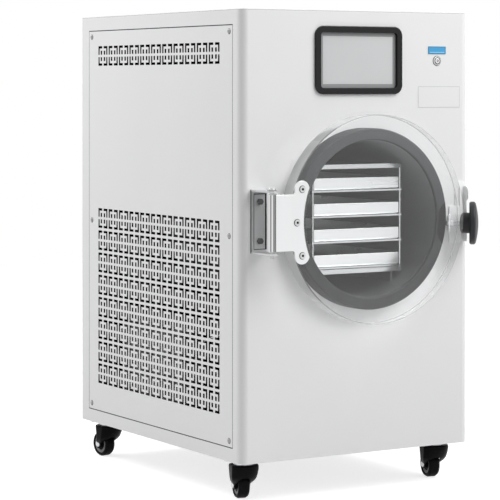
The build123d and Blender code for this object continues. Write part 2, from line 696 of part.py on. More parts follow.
def latch_bracket():
    """Bent stainless bracket: base, ear, right fold and the slanted flange of the screw."""
    base = Pos((CLAMP_X0 + CLAMP_X1) / 2, (CLAMP_LOW + CLAMP_HIGH) / 2) * Rectangle(
        CLAMP_X1 - CLAMP_X0, CLAMP_HIGH - CLAMP_LOW)
    ear = Pos((CLAMP_EAR_X0 + CLAMP_X1) / 2, (CLAMP_LOW + CLAMP_EAR_HIGH) / 2) * Rectangle(
        CLAMP_X1 - CLAMP_EAR_X0, CLAMP_EAR_HIGH - CLAMP_LOW)
    outline = base + ear
    bracket = on_front(outline, 0, 0, 0, CLAMP_PLATE)
    step = CLAMP_Z + CAP_R
    fold = make_face(Polyline(
        (0, CLAMP_LOW), (-CLAMP_SIDE_LOW_OUT, CLAMP_LOW), (-CLAMP_SIDE_LOW_OUT, step),
        (-CLAMP_SIDE_OUT, step + CLAMP_SIDE_OUT - CLAMP_SIDE_LOW_OUT),
        (-CLAMP_SIDE_OUT, CLAMP_SIDE_HIGH), (0, CLAMP_SIDE_HIGH), close=True))
    corner = fold.vertices().group_by(Axis.Y)[-1].sort_by(Axis.X)[0]
    fold = fillet(corner, CLAMP_SIDE_OUT * 0.6)
    side = Plane(origin=(X_LEFT + CLAMP_X1 - CLAMP_PLATE, Y_FRONT, CASTER_H),
                 x_dir=(0, 1, 0), z_dir=(1, 0, 0))
    bracket += extrude(side * fold, CLAMP_PLATE)
    root = 1.5 * CLAMP_PLATE
    flange = Pos(0, -root / 2) * Rectangle(2 * CLAMP_FLANGE_HALF, CLAMP_FLANGE_L + root)
    bracket += on_clamp(flange, -CLAMP_PLATE / 2, CLAMP_PLATE / 2)
    bracket -= block(0, CAB_W, 0, CLAMP_FLANGE_L, CLAMP_LOW - PAST, CLAMP_EAR_HIGH + PAST)
    bracket -= on_clamp(Circle(STUD_R + RUN_GAP), -CLAMP_PLATE, CLAMP_PLATE)
    for z in CLAMP_SCREWS_Z:
        bracket -= on_front(Circle(CLAMP_BOLT_R + RUN_GAP), CLAMP_SCREW_X, z, -PAST,
                            CLAMP_PLATE + PAST)
    return bracket


def latch_screws():
    """Three pan-head screws in a column."""
    screws = []
    for z in CLAMP_SCREWS_Z:
        head = on_front(Circle(CLAMP_HEAD_R), CLAMP_SCREW_X, z, CLAMP_PLATE,
                        CLAMP_PLATE + CLAMP_HEAD_H)
        head = chamfer(head.faces().sort_by(Axis.Y)[0].edges(), CLAMP_HEAD_H / 2)
        head += on_front(Circle(CLAMP_BOLT_R), CLAMP_SCREW_X, z, -SHEET - CLAMP_BOLT_L, CLAMP_PLATE)
        screws.append(head)
    return Compound(children=screws)


def latch_nut():
    """Hex nut on the slanted flange; the knob's stud runs in it."""
    start = CLAMP_PLATE / 2
    nut = on_clamp(RegularPolygon(NUT_FLAT / 2, 6, major_radius=False), start, start + NUT_H)
    return nut - on_clamp(Circle(STUD_R + RUN_GAP), start - PAST, start + NUT_H + PAST)


def latch_stud():
    """Threaded stud, shown plain, with a chamfered tail."""
    stud = on_clamp(Circle(STUD_R), -STUD_TAIL, HUB_START + HUB_L / 2)
    tail = stud.edges().filter_by(GeomType.CIRCLE).sort_by(lambda e: e.center().dot(CLAMP_AXIS))[0]
    return chamfer(tail, STUD_CHAMFER)


def latch_knob():
    """Moulded mushroom knob: a hub with a socket for the stud under a broad cap."""
    half = [(0, HUB_START), (HUB_R - HUB_CHAMFER, HUB_START), (HUB_R, HUB_START + HUB_CHAMFER),
            (HUB_R, HUB_START + HUB_L), (CAP_R, HUB_START + HUB_L), (CAP_R, CAP_END), (0, CAP_END)]
    profile = make_face(Polyline(*half, close=True))
    rim = profile.vertices().sort_by(Axis.X)[-2:]
    profile = fillet(rim, CAP_ROUND)
    upright = Plane(origin=(0, 0, 0), x_dir=(1, 0, 0), z_dir=(0, -1, 0))
    knob = CLAMP * revolve(upright * profile, Axis.Z)
    return knob - on_clamp(Circle(STUD_R + RUN_GAP), 0, HUB_START + HUB_L / 2 + SHIM_GAP)


def rounded(width, height, corner):
    return RectangleRounded(width, height, corner)


def display_bezel():
    """Raised black surround with a sunk window, clipped through the panel."""
    outer = rounded(BEZEL_W, BEZEL_H, BEZEL_CORNER)
    opening = rounded(BEZEL_W - 2 * BEZEL_FRAME, BEZEL_H - 2 * BEZEL_FRAME,
                      BEZEL_CORNER - BEZEL_FRAME)
    bezel = on_front(outer, BEZEL_X, BEZEL_Z, 0, BEZEL_OUT)
    bezel = fillet(bezel.faces().sort_by(Axis.Y)[0].edges(), BEZEL_EDGE)
    neck = Rectangle(BEZEL_W - 2 * BEZEL_FRAME + 2 * SHEET - 2 * SEAT_GAP,
                     BEZEL_H - 2 * BEZEL_FRAME + 2 * SHEET - 2 * SEAT_GAP)
    bezel += on_front(neck, BEZEL_X, BEZEL_Z, -BEZEL_IN, 0)
    return bezel - on_front(opening, BEZEL_X, BEZEL_Z, -BEZEL_IN - PAST, BEZEL_OUT + PAST)


def display_module():
    """Display module behind the window, with its narrow grey border."""
    module = rounded(BEZEL_W - 2 * BEZEL_FRAME - 2 * SEAT_GAP,
                     BEZEL_H - 2 * BEZEL_FRAME - 2 * SEAT_GAP, BEZEL_CORNER - BEZEL_FRAME - SEAT_GAP)
    body = on_front(module, BEZEL_X, BEZEL_Z, -SCREEN_BACK - SCREEN_T, -SCREEN_BACK)
    return body - on_front(Rectangle(SCREEN_W, SCREEN_H), BEZEL_X, BEZEL_Z,
                           -SCREEN_BACK - GLASS_T, PAST)


def display_glass():
    """The touch glass, set flush in the module's face."""
    pane = Rectangle(SCREEN_W - 2 * SEAT_GAP, SCREEN_H - 2 * SEAT_GAP)
    return on_front(pane, BEZEL_X, BEZEL_Z, -SCREEN_BACK - GLASS_T, -SCREEN_BACK)


def button_ring():
    """Metal collar and barrel of the push button, with its nut behind the panel."""
    collar = on_front(Circle(BUTTON_RING_R), BUTTON_X, BUTTON_Z, 0, BUTTON_RING_OUT)
    collar = chamfer(collar.faces().sort_by(Axis.Y)[0].edges(), BUTTON_RING_OUT / 2)
    collar += on_front(Circle(BUTTON_BARREL_R), BUTTON_X, BUTTON_Z, -BUTTON_BARREL_L, 0)
    collar += on_front(RegularPolygon(BUTTON_NUT_R, 6), BUTTON_X, BUTTON_Z,
                       -SHEET - BUTTON_NUT_H, -SHEET)
    depth = BUTTON_BARREL_L / 2
    return collar - on_front(Circle(BUTTON_R + RUN_GAP), BUTTON_X, BUTTON_Z, -depth,
                             BUTTON_RING_OUT + PAST)


def power_button():
    """Domed plunger that travels inside the collar."""
    depth = BUTTON_BARREL_L / 2 - BUTTON_TRAVEL - SHIM_GAP
    plunger = on_front(Circle(BUTTON_R), BUTTON_X, BUTTON_Z, -depth, BUTTON_OUT)
    return fillet(plunger.faces().sort_by(Axis.Y)[0].edges(), BUTTON_OUT * 0.3)


def name_tag():
    """Plain plate over the button, left blank."""
    tag = rounded(TAG_W, TAG_H, TAG_CORNER)
    return on_front(tag, TAG_X, TAG_Z, 0, TAG_T)


def rack_frame():
    """Welded rack: lipped top and bottom plates and four rods, standing on two feet."""
    x0 = CHAMBER_X - RACK_HALF
    x1 = CHAMBER_X + RACK_HALF
    y1 = RACK_FRONT + RACK_L
    rack = block(x0, x1, RACK_FRONT, y1, RACK_HIGH - RACK_PLATE, RACK_HIGH)
    rack += block(x0, x1, RACK_FRONT, y1, RACK_LOW, RACK_LOW + RACK_PLATE)
    rack += block(x0, x1, RACK_FRONT, RACK_FRONT + RACK_PLATE, RACK_HIGH - RACK_LIP, RACK_HIGH)
    rack += block(x0, x1, RACK_FRONT, RACK_FRONT + RACK_PLATE, RACK_LOW, RACK_LOW + RACK_LIP)
    for x in (x0 + RACK_ROD_INSET, x1 - RACK_ROD_INSET):
        for y in (RACK_FRONT + RACK_ROD_INSET, y1 - RACK_ROD_INSET):
            rod = Pos(x, y, (RACK_LOW + RACK_HIGH) / 2) * Cylinder(RACK_ROD_R, RACK_HIGH - RACK_LOW)
            rack += BODY * rod
    foot_x = RACK_HALF - RACK_FOOT_W
    drop = sqrt((CHAMBER_R - SHIM_GAP) ** 2 - (foot_x + RACK_PLATE) ** 2)
    for side in (-1, 1):
        x = CHAMBER_X + side * foot_x
        edge = x + side * RACK_PLATE
        rack += block(min(x, edge), max(x, edge), RACK_FRONT, y1, CHAMBER_Z - drop, RACK_LOW)
    return rack


def shelf(number):
    """Heated shelf plate, notched round the rack's rods."""
    low = SHELF_FIRST + number * SHELF_PITCH
    x0 = CHAMBER_X - RACK_HALF
    x1 = CHAMBER_X + RACK_HALF
    y1 = RACK_FRONT + RACK_L
    plate = block(x0, x1, RACK_FRONT, y1, low, low + SHELF_T)
    for x in (x0 + RACK_ROD_INSET, x1 - RACK_ROD_INSET):
        for y in (RACK_FRONT + RACK_ROD_INSET, y1 - RACK_ROD_INSET):
            plate -= BODY * Pos(x, y, low + SHELF_T / 2) * Cylinder(
                RACK_ROD_R + RUN_GAP, SHELF_T + PAST)
    return plate


def tray(number):
    """Open stainless tray, folded from one sheet."""
    low = SHELF_FIRST + number * SHELF_PITCH + SHELF_T
    front = RACK_FRONT + TRAY_SETBACK
    x0 = CHAMBER_X - TRAY_HALF
    x1 = CHAMBER_X + TRAY_HALF
    solid = block(x0, x1, front, front + TRAY_L, low, low + TRAY_H)
    solid = fillet(solid.faces().sort_by(Axis.Z)[0].edges(), TRAY_ROUND)
    wall = TRAY_WALL
    hollow = block(x0 + wall, x1 - wall, front + wall, front + TRAY_L - wall,
                   low + wall, low + TRAY_H + PAST)
    return solid - fillet(hollow.faces().sort_by(Axis.Z)[0].edges(), TRAY_ROUND - wall)


def compressor():
    """Hermetic compressor can on a foot plate with four rubber-bushed corners."""
    can = Pos(0, 0, COMP_BASE + COMP_H / 2) * Cylinder(COMP_R, COMP_H)
    can = fillet(can.edges().group_by(Axis.Z)[-1], COMP_DOME)
    can += Pos(0, 0, COMP_BASE + COMP_FOOT_T / 2) * Box(COMP_FOOT, COMP_FOOT, COMP_FOOT_T)
    away = COMP_FOOT / 2 - COMP_MOUNT_R
    for x in (-away, away):
        for y in (-away, away):
            can += Pos(x, y, PAN_T + COMP_MOUNT_H / 2) * Cylinder(COMP_MOUNT_R, COMP_MOUNT_H)
    return BODY * Pos(COMP_X, COMP_Y, 0) * can


def condenser_core():
    """Finned condenser: upright fins on flat tubes between two end plates."""
    y0 = CORE_Y - CORE_L / 2
    y1 = CORE_Y + CORE_L / 2
    x1 = CORE_X + CORE_T
    pitch = (CORE_L - FIN_T) / (CORE_FINS + 1)
    top = CORE_BASE + CORE_H
    core = None
    for number in range(CORE_FINS + 2):
        y = y0 + number * pitch
        end = number in (0, CORE_FINS + 1)
        back = 0 if end else FIN_SETBACK
        fin = block(CORE_X, x1, y, y + FIN_T, CORE_BASE + back, top - back)
        core = fin if core is None else core + fin
    for number in range(CORE_TUBES):
        z = CORE_BASE + (number + 1) * CORE_H / (CORE_TUBES + 1)
        middle = CORE_X + CORE_T / 2
        core += block(middle - CORE_TUBE, middle + CORE_TUBE, y0, y1, z, z + CORE_TUBE / 2)
    return core


def on_fan(sketch, start, end):
    """A flat shape across the fan's axle, between two places to the right of the core."""
    wall = Plane(origin=(X_LEFT + start, Y_FRONT + CORE_Y, CASTER_H + FAN_Z),
                 x_dir=(0, 1, 0), z_dir=(1, 0, 0))
    return extrude(wall * sketch, end - start)


def fan_shroud():
    """Square shroud with a round duct and a cross that carries the motor."""
    duct = FAN_R + FAN_TIP
    shroud = on_fan(Rectangle(CORE_L, CORE_H) - Circle(duct), SHROUD_X, SHROUD_X + SHROUD_WALL)
    deep = SHROUD_X + SHROUD_T + FAN_HUB_L + STRUT_T
    shroud += on_fan(ring(duct + SHROUD_WALL, duct), SHROUD_X, deep)
    cross = Rectangle(2 * duct + SHROUD_WALL, STRUT_W) + Rectangle(STRUT_W, 2 * duct + SHROUD_WALL)
    shroud += on_fan(cross - Circle(MOTOR_SHAFT_R + MOTOR_CLEAR), deep - STRUT_T, deep)
    return shroud


def fan_motor():
    """Motor can bolted behind the cross, its shaft reaching into the fan's hub."""
    deep = SHROUD_X + SHROUD_T + FAN_HUB_L + STRUT_T
    motor = on_fan(Circle(MOTOR_R), deep, deep + MOTOR_L)
    return motor + on_fan(Circle(MOTOR_SHAFT_R), SHROUD_X + SHROUD_T, deep)


def fan_blades():
    """Fan wheel: a hub with slanted blades, free to turn on the motor's shaft."""
    start = SHROUD_X + SHROUD_T - FAN_HUB_L / 4
    length = FAN_HUB_L - SHIM_GAP
    hub = on_fan(Circle(FAN_HUB_R), start, start + length)
    reach = FAN_R - FAN_HUB_R + FAN_ROOT
    centre = Pos(X_LEFT + start + length / 2, Y_FRONT + CORE_Y, CASTER_H + FAN_Z)
    blade = Pos(0, 0, FAN_HUB_R - FAN_ROOT + reach / 2) * Rot(0, 0, 90 - FAN_PITCH) * Box(
        FAN_BLADE_W, FAN_BLADE_T, reach)
    wheel = hub
    for number in range(FAN_BLADES):
        wheel += centre * Rot(number * 360 / FAN_BLADES, 0, 0) * blade
    wheel &= on_fan(Circle(FAN_R), start - FAN_BLADE_W, start + length + FAN_BLADE_W)
    return wheel - on_fan(Circle(MOTOR_SHAFT_R + RUN_GAP), start - PAST, start + length + PAST)


def filter_drier():
    """Copper drier standing in the pan beside the compressor."""
    can = Cylinder(DRIER_R, DRIER_L)
    can = chamfer(can.edges().filter_by(GeomType.CIRCLE), DRIER_R / 2)
    foot = Cylinder(DRIER_R / 2, DRIER_FOOT_H)
    place = BODY * Pos(COMP_X - COMP_R - 3 * DRIER_R, COMP_Y, PAN_T + DRIER_FOOT_H / 2)
    return place * (Pos(0, 0, DRIER_L / 2) * can + foot)


def control_box():
    """Steel box for the electronics, hung behind the display."""
    x0 = BEZEL_X - BOX_W / 2
    z1 = CAB_H - SHEET - BOX_HANG
    box = block(x0, x0 + BOX_W, BOX_GAP, BOX_GAP + BOX_D, z1 - BOX_H, z1)
    hanger = block(x0, x0 + BOX_W, BOX_GAP + BOX_D - SHEET, BOX_GAP + BOX_D, z1, CAB_H - SHEET)
    return box + hanger


def vacuum_pipe():
    """Straight pipe from the chamber's back to the port behind."""
    return on_front(ring(PORT_TUBE_R, PORT_BORE_R), CHAMBER_X, CHAMBER_Z,
                    -BACK_FACE, -CHAMBER_DEPTH - CHAMBER_WALL)


def vacuum_port():
    """Clamp flange of the pump port, with its centring bore."""
    length = PORT_OUT + SHEET
    port = on_back(Circle(PORT_TUBE_R), CHAMBER_X, CHAMBER_Z, 0, length - PORT_FLANGE_T)
    port += on_back(Circle(PORT_R), CHAMBER_X, CHAMBER_Z, length - PORT_FLANGE_T, length)
    port += on_back(Circle(PORT_R + PORT_BASE), CHAMBER_X, CHAMBER_Z, 0, SHEET)
    return port - on_back(Circle(PORT_BORE_R), CHAMBER_X, CHAMBER_Z, -PAST, length + PAST)


def drain_pipe():
    """Bent drain pipe from the chamber's low point to the back."""
    top = CHAMBER_Z - CHAMBER_R - CHAMBER_WALL - SHIM_GAP
    path = FilletPolyline(
        (X_LEFT + CHAMBER_X, Y_FRONT + DRAIN_BACK, CASTER_H + top),
        (X_LEFT + CHAMBER_X, Y_FRONT + DRAIN_BACK, CASTER_H + DRAIN_TURN_Z),
        (X_LEFT + DRAIN_X, Y_FRONT + DRAIN_TURN_Y, CASTER_H + DRAIN_Z),
        (X_LEFT + DRAIN_X, Y_FRONT + BACK_FACE, CASTER_H + DRAIN_Z), radius=DRAIN_BEND)
    start = Plane(origin=path @ 0, z_dir=path % 0)
    return sweep(start * ring(DRAIN_R, DRAIN_BORE_R), path)


def drain_valve():
    """Ball valve on the drain's end with a hose barb."""
    end = VALVE_L + BARB_L
    valve = on_back(RegularPolygon(VALVE_R, 6), DRAIN_X, DRAIN_Z, 0, VALVE_L)
    valve += on_back(Circle(BARB_R), DRAIN_X, DRAIN_Z, VALVE_L, end)
    valve -= on_back(Circle(BARB_R - BARB_WALL), DRAIN_X, DRAIN_Z, VALVE_L, end + PAST)
    top = VALVE_R * cos(pi / 6)
    stem = BODY * Pos(DRAIN_X, BACK_FACE + VALVE_L / 2, DRAIN_Z + top + STEM_H / 2)
    return valve + stem * Cylinder(STEM_R, STEM_H)


def drain_lever():
    """Lever that turns on the valve's stem, shown closed, across the flow."""
    low = DRAIN_Z + VALVE_R * cos(pi / 6) + SHIM_GAP
    stem = BODY * Pos(DRAIN_X, BACK_FACE + VALVE_L / 2, low + LEVER_T / 2)
    bar = Pos(LEVER_L / 2, 0, 0) * Box(LEVER_L, LEVER_W, LEVER_T) + Cylinder(LEVER_W / 2, LEVER_T)
    return stem * (bar - Cylinder(STEM_R + RUN_GAP, LEVER_T + PAST))


def power_inlet():
    """Panel-mounted power inlet: a frame, a recess and three flat pins."""
    wide = INLET_W - 2 * INLET_EAR - 2 * SEAT_GAP
    tall = INLET_H - 2 * INLET_WALL - 2 * SEAT_GAP
    floor = INLET_WALL - INLET_IN
    body = on_back(rounded(INLET_W, INLET_H, INLET_CORNER), INLET_X, INLET_Z, 0, INLET_OUT)
    body += on_back(Rectangle(wide, tall), INLET_X, INLET_Z, -INLET_IN, 0)
    body -= on_back(Rectangle(wide - 2 * INLET_WALL, tall - 2 * INLET_WALL), INLET_X, INLET_Z,
                    floor, INLET_OUT + PAST)
    for x in (-INLET_PIN_PITCH, 0, INLET_PIN_PITCH):
        body += on_back(Rectangle(INLET_PIN_T, INLET_PIN_W), INLET_X + x, INLET_Z, floor, -INLET_OUT)
    return body


def caster_places():
    for name, x in (("left", CASTER_SIDE), ("right", CAB_W - CASTER_SIDE)):
        yield "front_" + name, x, CASTER_FRONT
        yield "rear_" + name, x, CAB_D - CASTER_REAR


def swivelled(name, x, y):
    """A caster's kingpin on the floor, turned the way its yoke stands."""
    return Pos(X_LEFT + x, Y_FRONT + y, 0) * Rot(0, 0, CASTER_TURNS[name])


def caster_bolt_places():
    """Where the bolts stand: four to a caster, seen from above."""
    for _, x, y in caster_places():
        for side in (-CASTER_BOLT_AWAY, CASTER_BOLT_AWAY):
            for end in (-CASTER_BOLT_AWAY, CASTER_BOLT_AWAY):
                yield X_LEFT + x + side, Y_FRONT + y + end


def caster_bolts():
    """Sixteen hex bolts that hold the casters' plates to the pan."""
    low = CASTER_H - CASTER_PLATE_T - CASTER_BOLT_H
    bolt = extrude(Pos(0, 0, low) * RegularPolygon(CASTER_BOLT_FLAT / 2, 6, major_radius=False),
                   CASTER_BOLT_H)
    length = CASTER_PLATE_T + PAN_T + CASTER_BOLT_L
    bolt += Pos(0, 0, low + CASTER_BOLT_H + length / 2) * Cylinder(CASTER_BOLT_R, length)
    return Compound(children=[Pos(x, y, 0) * bolt for x, y in caster_bolt_places()])


def caster_plates():
    """Four top plates, each with its race and riveted kingpin."""
    plates = []
    hole = Pos(0, 0, CASTER_H) * Cylinder(CASTER_BOLT_R + RUN_GAP, 4 * CASTER_PLATE_T)
    holes = [Pos(x, y, 0) * hole for x, y in caster_bolt_places()]
    for _, x, y in caster_places():
        place = Pos(X_LEFT + x, Y_FRONT + y, 0)
        plate = Pos(0, 0, CASTER_H - CASTER_PLATE_T / 2) * Box(
            CASTER_PLATE, CASTER_PLATE, CASTER_PLATE_T)
        plate = fillet(plate.edges().filter_by(Axis.Z), CASTER_CORNER)
        plate += Pos(0, 0, RACE_LOW + RACE_H / 2) * Cylinder(RACE_R, RACE_H)
        low = YOKE_HIGH - YOKE_TOP - SHIM_GAP - KINGPIN_HEAD_H
        plate += Pos(0, 0, (low + RACE_LOW) / 2) * Cylinder(KINGPIN_R, RACE_LOW - low)
        plate += Pos(0, 0, low + KINGPIN_HEAD_H / 2) * Cylinder(KINGPIN_HEAD_R, KINGPIN_HEAD_H)
        plates.append(place * plate - holes)
    return Compound(children=plates)


def caster_yoke():
    """Pressed yoke: a round drawn top, two swept cheeks and the riveted axle."""
    inner = WHEEL_W / 2 + HUB_SIDE_OUT + SHIM_GAP
    outer = inner + YOKE_WALL
    top = YOKE_HIGH
    cheek = make_face(Polyline(
        (-YOKE_FRONT, top), (YOKE_BACK, top), (TRAIL + YOKE_END_R, WHEEL_R),
        (TRAIL - YOKE_END_R, WHEEL_R), (-YOKE_THROAT, top - YOKE_SHOULDER), close=True))
    cheek += Pos(TRAIL, WHEEL_R) * Circle(YOKE_END_R)
    wall = Plane(origin=(-outer, 0, 0), x_dir=(0, 1, 0), z_dir=(1, 0, 0))
    yoke = extrude(wall * cheek, 2 * outer)
    yoke -= Box(2 * inner, 6 * YOKE_R, 2 * (top - YOKE_TOP))
    yoke += Pos(0, 0, top - YOKE_TOP / 2) * Cylinder(YOKE_R, YOKE_TOP)
    yoke += extrude(Pos(0, 0, top - YOKE_SKIRT) * ring(YOKE_R, YOKE_R - YOKE_WALL), YOKE_SKIRT)
    yoke -= Pos(0, 0, top) * Cylinder(KINGPIN_R + RUN_GAP, 4 * YOKE_TOP)
    axle = Plane(origin=(-outer - AXLE_HEAD_H, TRAIL, WHEEL_R), x_dir=(0, 1, 0), z_dir=(1, 0, 0))
    length = 2 * (outer + AXLE_HEAD_H)
    yoke += extrude(axle * Circle(AXLE_R), length)
    yoke += extrude(axle * Circle(AXLE_HEAD_R), AXLE_HEAD_H)
    yoke += extrude(axle * Pos(0, 0, length - AXLE_HEAD_H) * Circle(AXLE_HEAD_R), AXLE_HEAD_H)
    return yoke


def caster_wheel():
    """Solid wheel: rounded tread, sunk sides and a bored hub."""
    half = WHEEL_W / 2
    hub = half + HUB_SIDE_OUT
    bore = AXLE_R + RUN_GAP
    rim = WHEEL_R - WHEEL_RIM
    side = [(hub, bore), (hub, HUB_SIDE_R), (half - WHEEL_SINK, HUB_SIDE_R), (half - WHEEL_SINK, rim),
            (half, rim), (half, WHEEL_R - WHEEL_EDGE_R), (half - WHEEL_EDGE_W, WHEEL_R)]
    other = [(-across, radius) for across, radius in reversed(side)]
    profile = make_face(Polyline(*side, *other, close=True))
    upright = Plane(origin=(0, 0, 0), x_dir=(1, 0, 0), z_dir=(0, -1, 0))
    wheel = revolve(upright * profile, Axis.X)
    return Pos(0, TRAIL, WHEEL_R) * wheel


def build():
    parts = {
        "cabinet_shell": cabinet_shell(),
        "top_cover": top_cover(),
        "base_pan": base_pan(),
        "rear_panel": rear_panel(),
        "side_panel_left": side_panel(False),
        "side_panel_right": side_panel(True),
        "side_panel_screws": side_panel_screws(),
        "chamber_drum": chamber_drum(),
        "chamber_insulation": chamber_insulation(),
        "door_gasket": door_gasket(),
        "latch_pad": latch_pad_blank(0),
        "door_disc": door_disc(),
        "door_leaf": door_leaf(),
        "door_leaf_screws": door_leaf_screws(),
        "hinge_bracket": hinge_bracket(),
        "hinge_bolts": hinge_bolts(),
        "hinge_pin": hinge_pin(),
        "latch_bracket": latch_bracket(),
        "latch_screws": latch_screws(),
        "latch_nut": latch_nut(),
        "latch_stud": latch_stud(),
        "latch_knob": latch_knob(),
        "display_bezel": display_bezel(),
        "display_module": display_module(),
        "display_glass": display_glass(),
        "button_ring": button_ring(),
        "power_button": power_button(),
        "name_tag": name_tag(),
        "rack_frame": rack_frame(),
        "compressor": compressor(),
        "condenser_core": condenser_core(),
        "fan_shroud": fan_shroud(),
        "fan_motor": fan_motor(),
        "fan_blades": fan_blades(),
        "filter_drier": filter_drier(),
        "control_box": control_box(),
        "vacuum_pipe": vacuum_pipe(),
        "vacuum_port": vacuum_port(),
        "drain_pipe": drain_pipe(),
        "drain_valve": drain_valve(),
        "drain_lever": drain_lever(),
        "power_inlet": power_inlet(),
        "caster_plates": caster_plates(),
        "caster_bolts": caster_bolts(),
    }
    for number in range(SHELVES):
        parts[f"shelf_{number + 1}"] = shelf(number)
        parts[f"tray_{number + 1}"] = tray(number)
    for name, x, y in caster_places():
        parts["yoke_" + name] = swivelled(name, x, y) * caster_yoke()
        parts["wheel_" + name] = swivelled(name, x, y) * caster_wheel()
    return parts


os.makedirs("parts", exist_ok=True)
for node, shape in build().items():
    export_step(shape, f"parts/{node}.step")
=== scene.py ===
# Upright laboratory freeze dryer on casters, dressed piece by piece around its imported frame.
# Metres, +Z up, the door facing -Y.
import json
from math import atan2, cos, degrees, pi, radians, sin

import bmesh
import bpy
from mathutils import Matrix, Vector


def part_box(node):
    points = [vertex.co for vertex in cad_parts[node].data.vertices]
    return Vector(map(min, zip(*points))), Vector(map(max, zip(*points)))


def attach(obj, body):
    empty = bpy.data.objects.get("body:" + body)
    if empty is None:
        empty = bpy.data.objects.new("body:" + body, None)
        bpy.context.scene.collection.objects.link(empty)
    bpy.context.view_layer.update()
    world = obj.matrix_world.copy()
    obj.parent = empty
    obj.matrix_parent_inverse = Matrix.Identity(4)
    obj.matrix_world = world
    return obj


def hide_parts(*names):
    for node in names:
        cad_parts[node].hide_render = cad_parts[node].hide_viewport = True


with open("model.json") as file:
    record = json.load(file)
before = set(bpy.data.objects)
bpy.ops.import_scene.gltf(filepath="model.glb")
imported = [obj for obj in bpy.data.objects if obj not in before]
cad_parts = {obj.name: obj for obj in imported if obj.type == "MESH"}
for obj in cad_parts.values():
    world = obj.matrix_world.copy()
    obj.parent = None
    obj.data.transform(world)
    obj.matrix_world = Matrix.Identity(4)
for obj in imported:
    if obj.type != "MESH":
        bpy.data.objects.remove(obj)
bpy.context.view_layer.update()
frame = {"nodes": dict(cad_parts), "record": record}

# ---------------------------------------------------------------- camera
# The eye looks level from well back, to the left of the door. The view is shifted down instead of
# tilted, so that the cabinet's uprights stay parallel.
shell_low, shell_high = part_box("cabinet_shell")
view_turn = radians(30.933)
eye_out = 3.7862
eye_aside = -0.01585
eye_height = 0.66515
ahead = Vector((sin(view_turn), cos(view_turn), 0))
aside = Vector((cos(view_turn), -sin(view_turn), 0))
front_corner = Vector((shell_low.x, shell_low.y, shell_low.z + eye_height))
lens = bpy.data.cameras.new("view")
lens.sensor_width = 36
lens.lens = 155.757
lens.shift_y = -0.32942
view = bpy.data.objects.new("view", lens)
view.location = front_corner - ahead * eye_out - aside * eye_aside
view.rotation_euler = (pi / 2, 0, -view_turn)
bpy.context.collection.objects.link(view)
bpy.context.scene.camera = view
bpy.context.scene.view_settings.view_transform = "Standard"

# ---------------------------------------------------------------- room
# A pale seamless floor in a plain white surround, lit by broad soft lamps from the front right,
# the left rear and above. The surround is white to the eye, to gloss and through clear plastic.
floor_size = 9.0
floor_glow = 0.74
surround_light = 0.42


def seen(tree):
    """1 for rays from the eye, from gloss and through clear plastic, 0 for soft light."""
    rays = tree.nodes.new("ShaderNodeLightPath")
    first = tree.nodes.new("ShaderNodeMath")
    first.operation = "MAXIMUM"
    tree.links.new(rays.outputs["Is Camera Ray"], first.inputs[0])
    tree.links.new(rays.outputs["Is Glossy Ray"], first.inputs[1])
    second = tree.nodes.new("ShaderNodeMath")
    second.operation = "MAXIMUM"
    tree.links.new(first.outputs[0], second.inputs[0])
    tree.links.new(rays.outputs["Is Transmission Ray"], second.inputs[1])
    return second.outputs[0]


bpy.ops.mesh.primitive_plane_add(size=floor_size, location=(0, 0, 0))
floor = bpy.context.object
floor.name = "floor"
floor_paint = bpy.data.materials.new("floor_paint")
floor_paint.use_nodes = True
tree = floor_paint.node_tree
paper = tree.nodes["Principled BSDF"]
paper.inputs["Base Color"].default_value = (0.5, 0.5, 0.5, 1)
paper.inputs["Roughness"].default_value = 0.9
paper.inputs["Specular IOR Level"].default_value = 0.1
paper.inputs["Emission Color"].default_value = (1, 1, 1, 1)
glow = tree.nodes.new("ShaderNodeMath")
glow.operation = "MULTIPLY"
glow.inputs[1].default_value = floor_glow
tree.links.new(seen(tree), glow.inputs[0])
tree.links.new(glow.outputs[0], paper.inputs["Emission Strength"])
floor.data.materials.append(floor_paint)

world = bpy.data.worlds.new("surround")
bpy.context.scene.world = world
world.use_nodes = True
tree = world.node_tree
surround = tree.nodes["Background"]
surround.inputs["Color"].default_value = (1, 1, 1, 1)
level = tree.nodes.new("ShaderNodeMapRange")
level.inputs["To Min"].default_value = surround_light
level.inputs["To Max"].default_value = 1.0
tree.links.new(seen(tree), level.inputs["Value"])
tree.links.new(level.outputs["Result"], surround.inputs["Strength"])


def lamp(name, place, target, size, power):
    """A broad soft lamp at a place, turned to a target."""
    light = bpy.data.lights.new(name, "AREA")
    light.shape = "RECTANGLE"
    light.size, light.size_y = size
    light.energy = power
    holder = bpy.data.objects.new(name, light)
    holder.location = place
    holder.rotation_euler = (Vector(target) - Vector(place)).to_track_quat("-Z", "Y").to_euler()
    bpy.context.collection.objects.link(holder)


lamp("front_lamp", (1.55, -2.1, 2.83), (0, -0.3, 0.5), (2.2, 2.2), 95)
lamp("side_lamp", (-2.05, 1.5, 2.83), (-0.25, 0, 0.5), (1.6, 1.6), 72)
lamp("top_lamp", (0, 0, 3.0), (0, 0, 0.8), (2.0, 2.0), 6)

# ---------------------------------------------------------------- cabinet shell, cover, back, base
# Cold-rolled steel sheet, bent and powder-coated satin white, with a faint orange peel.
# The back and the pan under the works have a greyer coat, and the insides are painted near black as
# painted shade.
nodes = frame["nodes"]
behaviour = frame["record"]["behaviour"]
body_of = {node: body for body, held in behaviour["bodies"].items() for node in held}
ramp_reach, gloss_low, gloss_high, grain_deep = 0.2, 0.88, 1.14, 0.0004


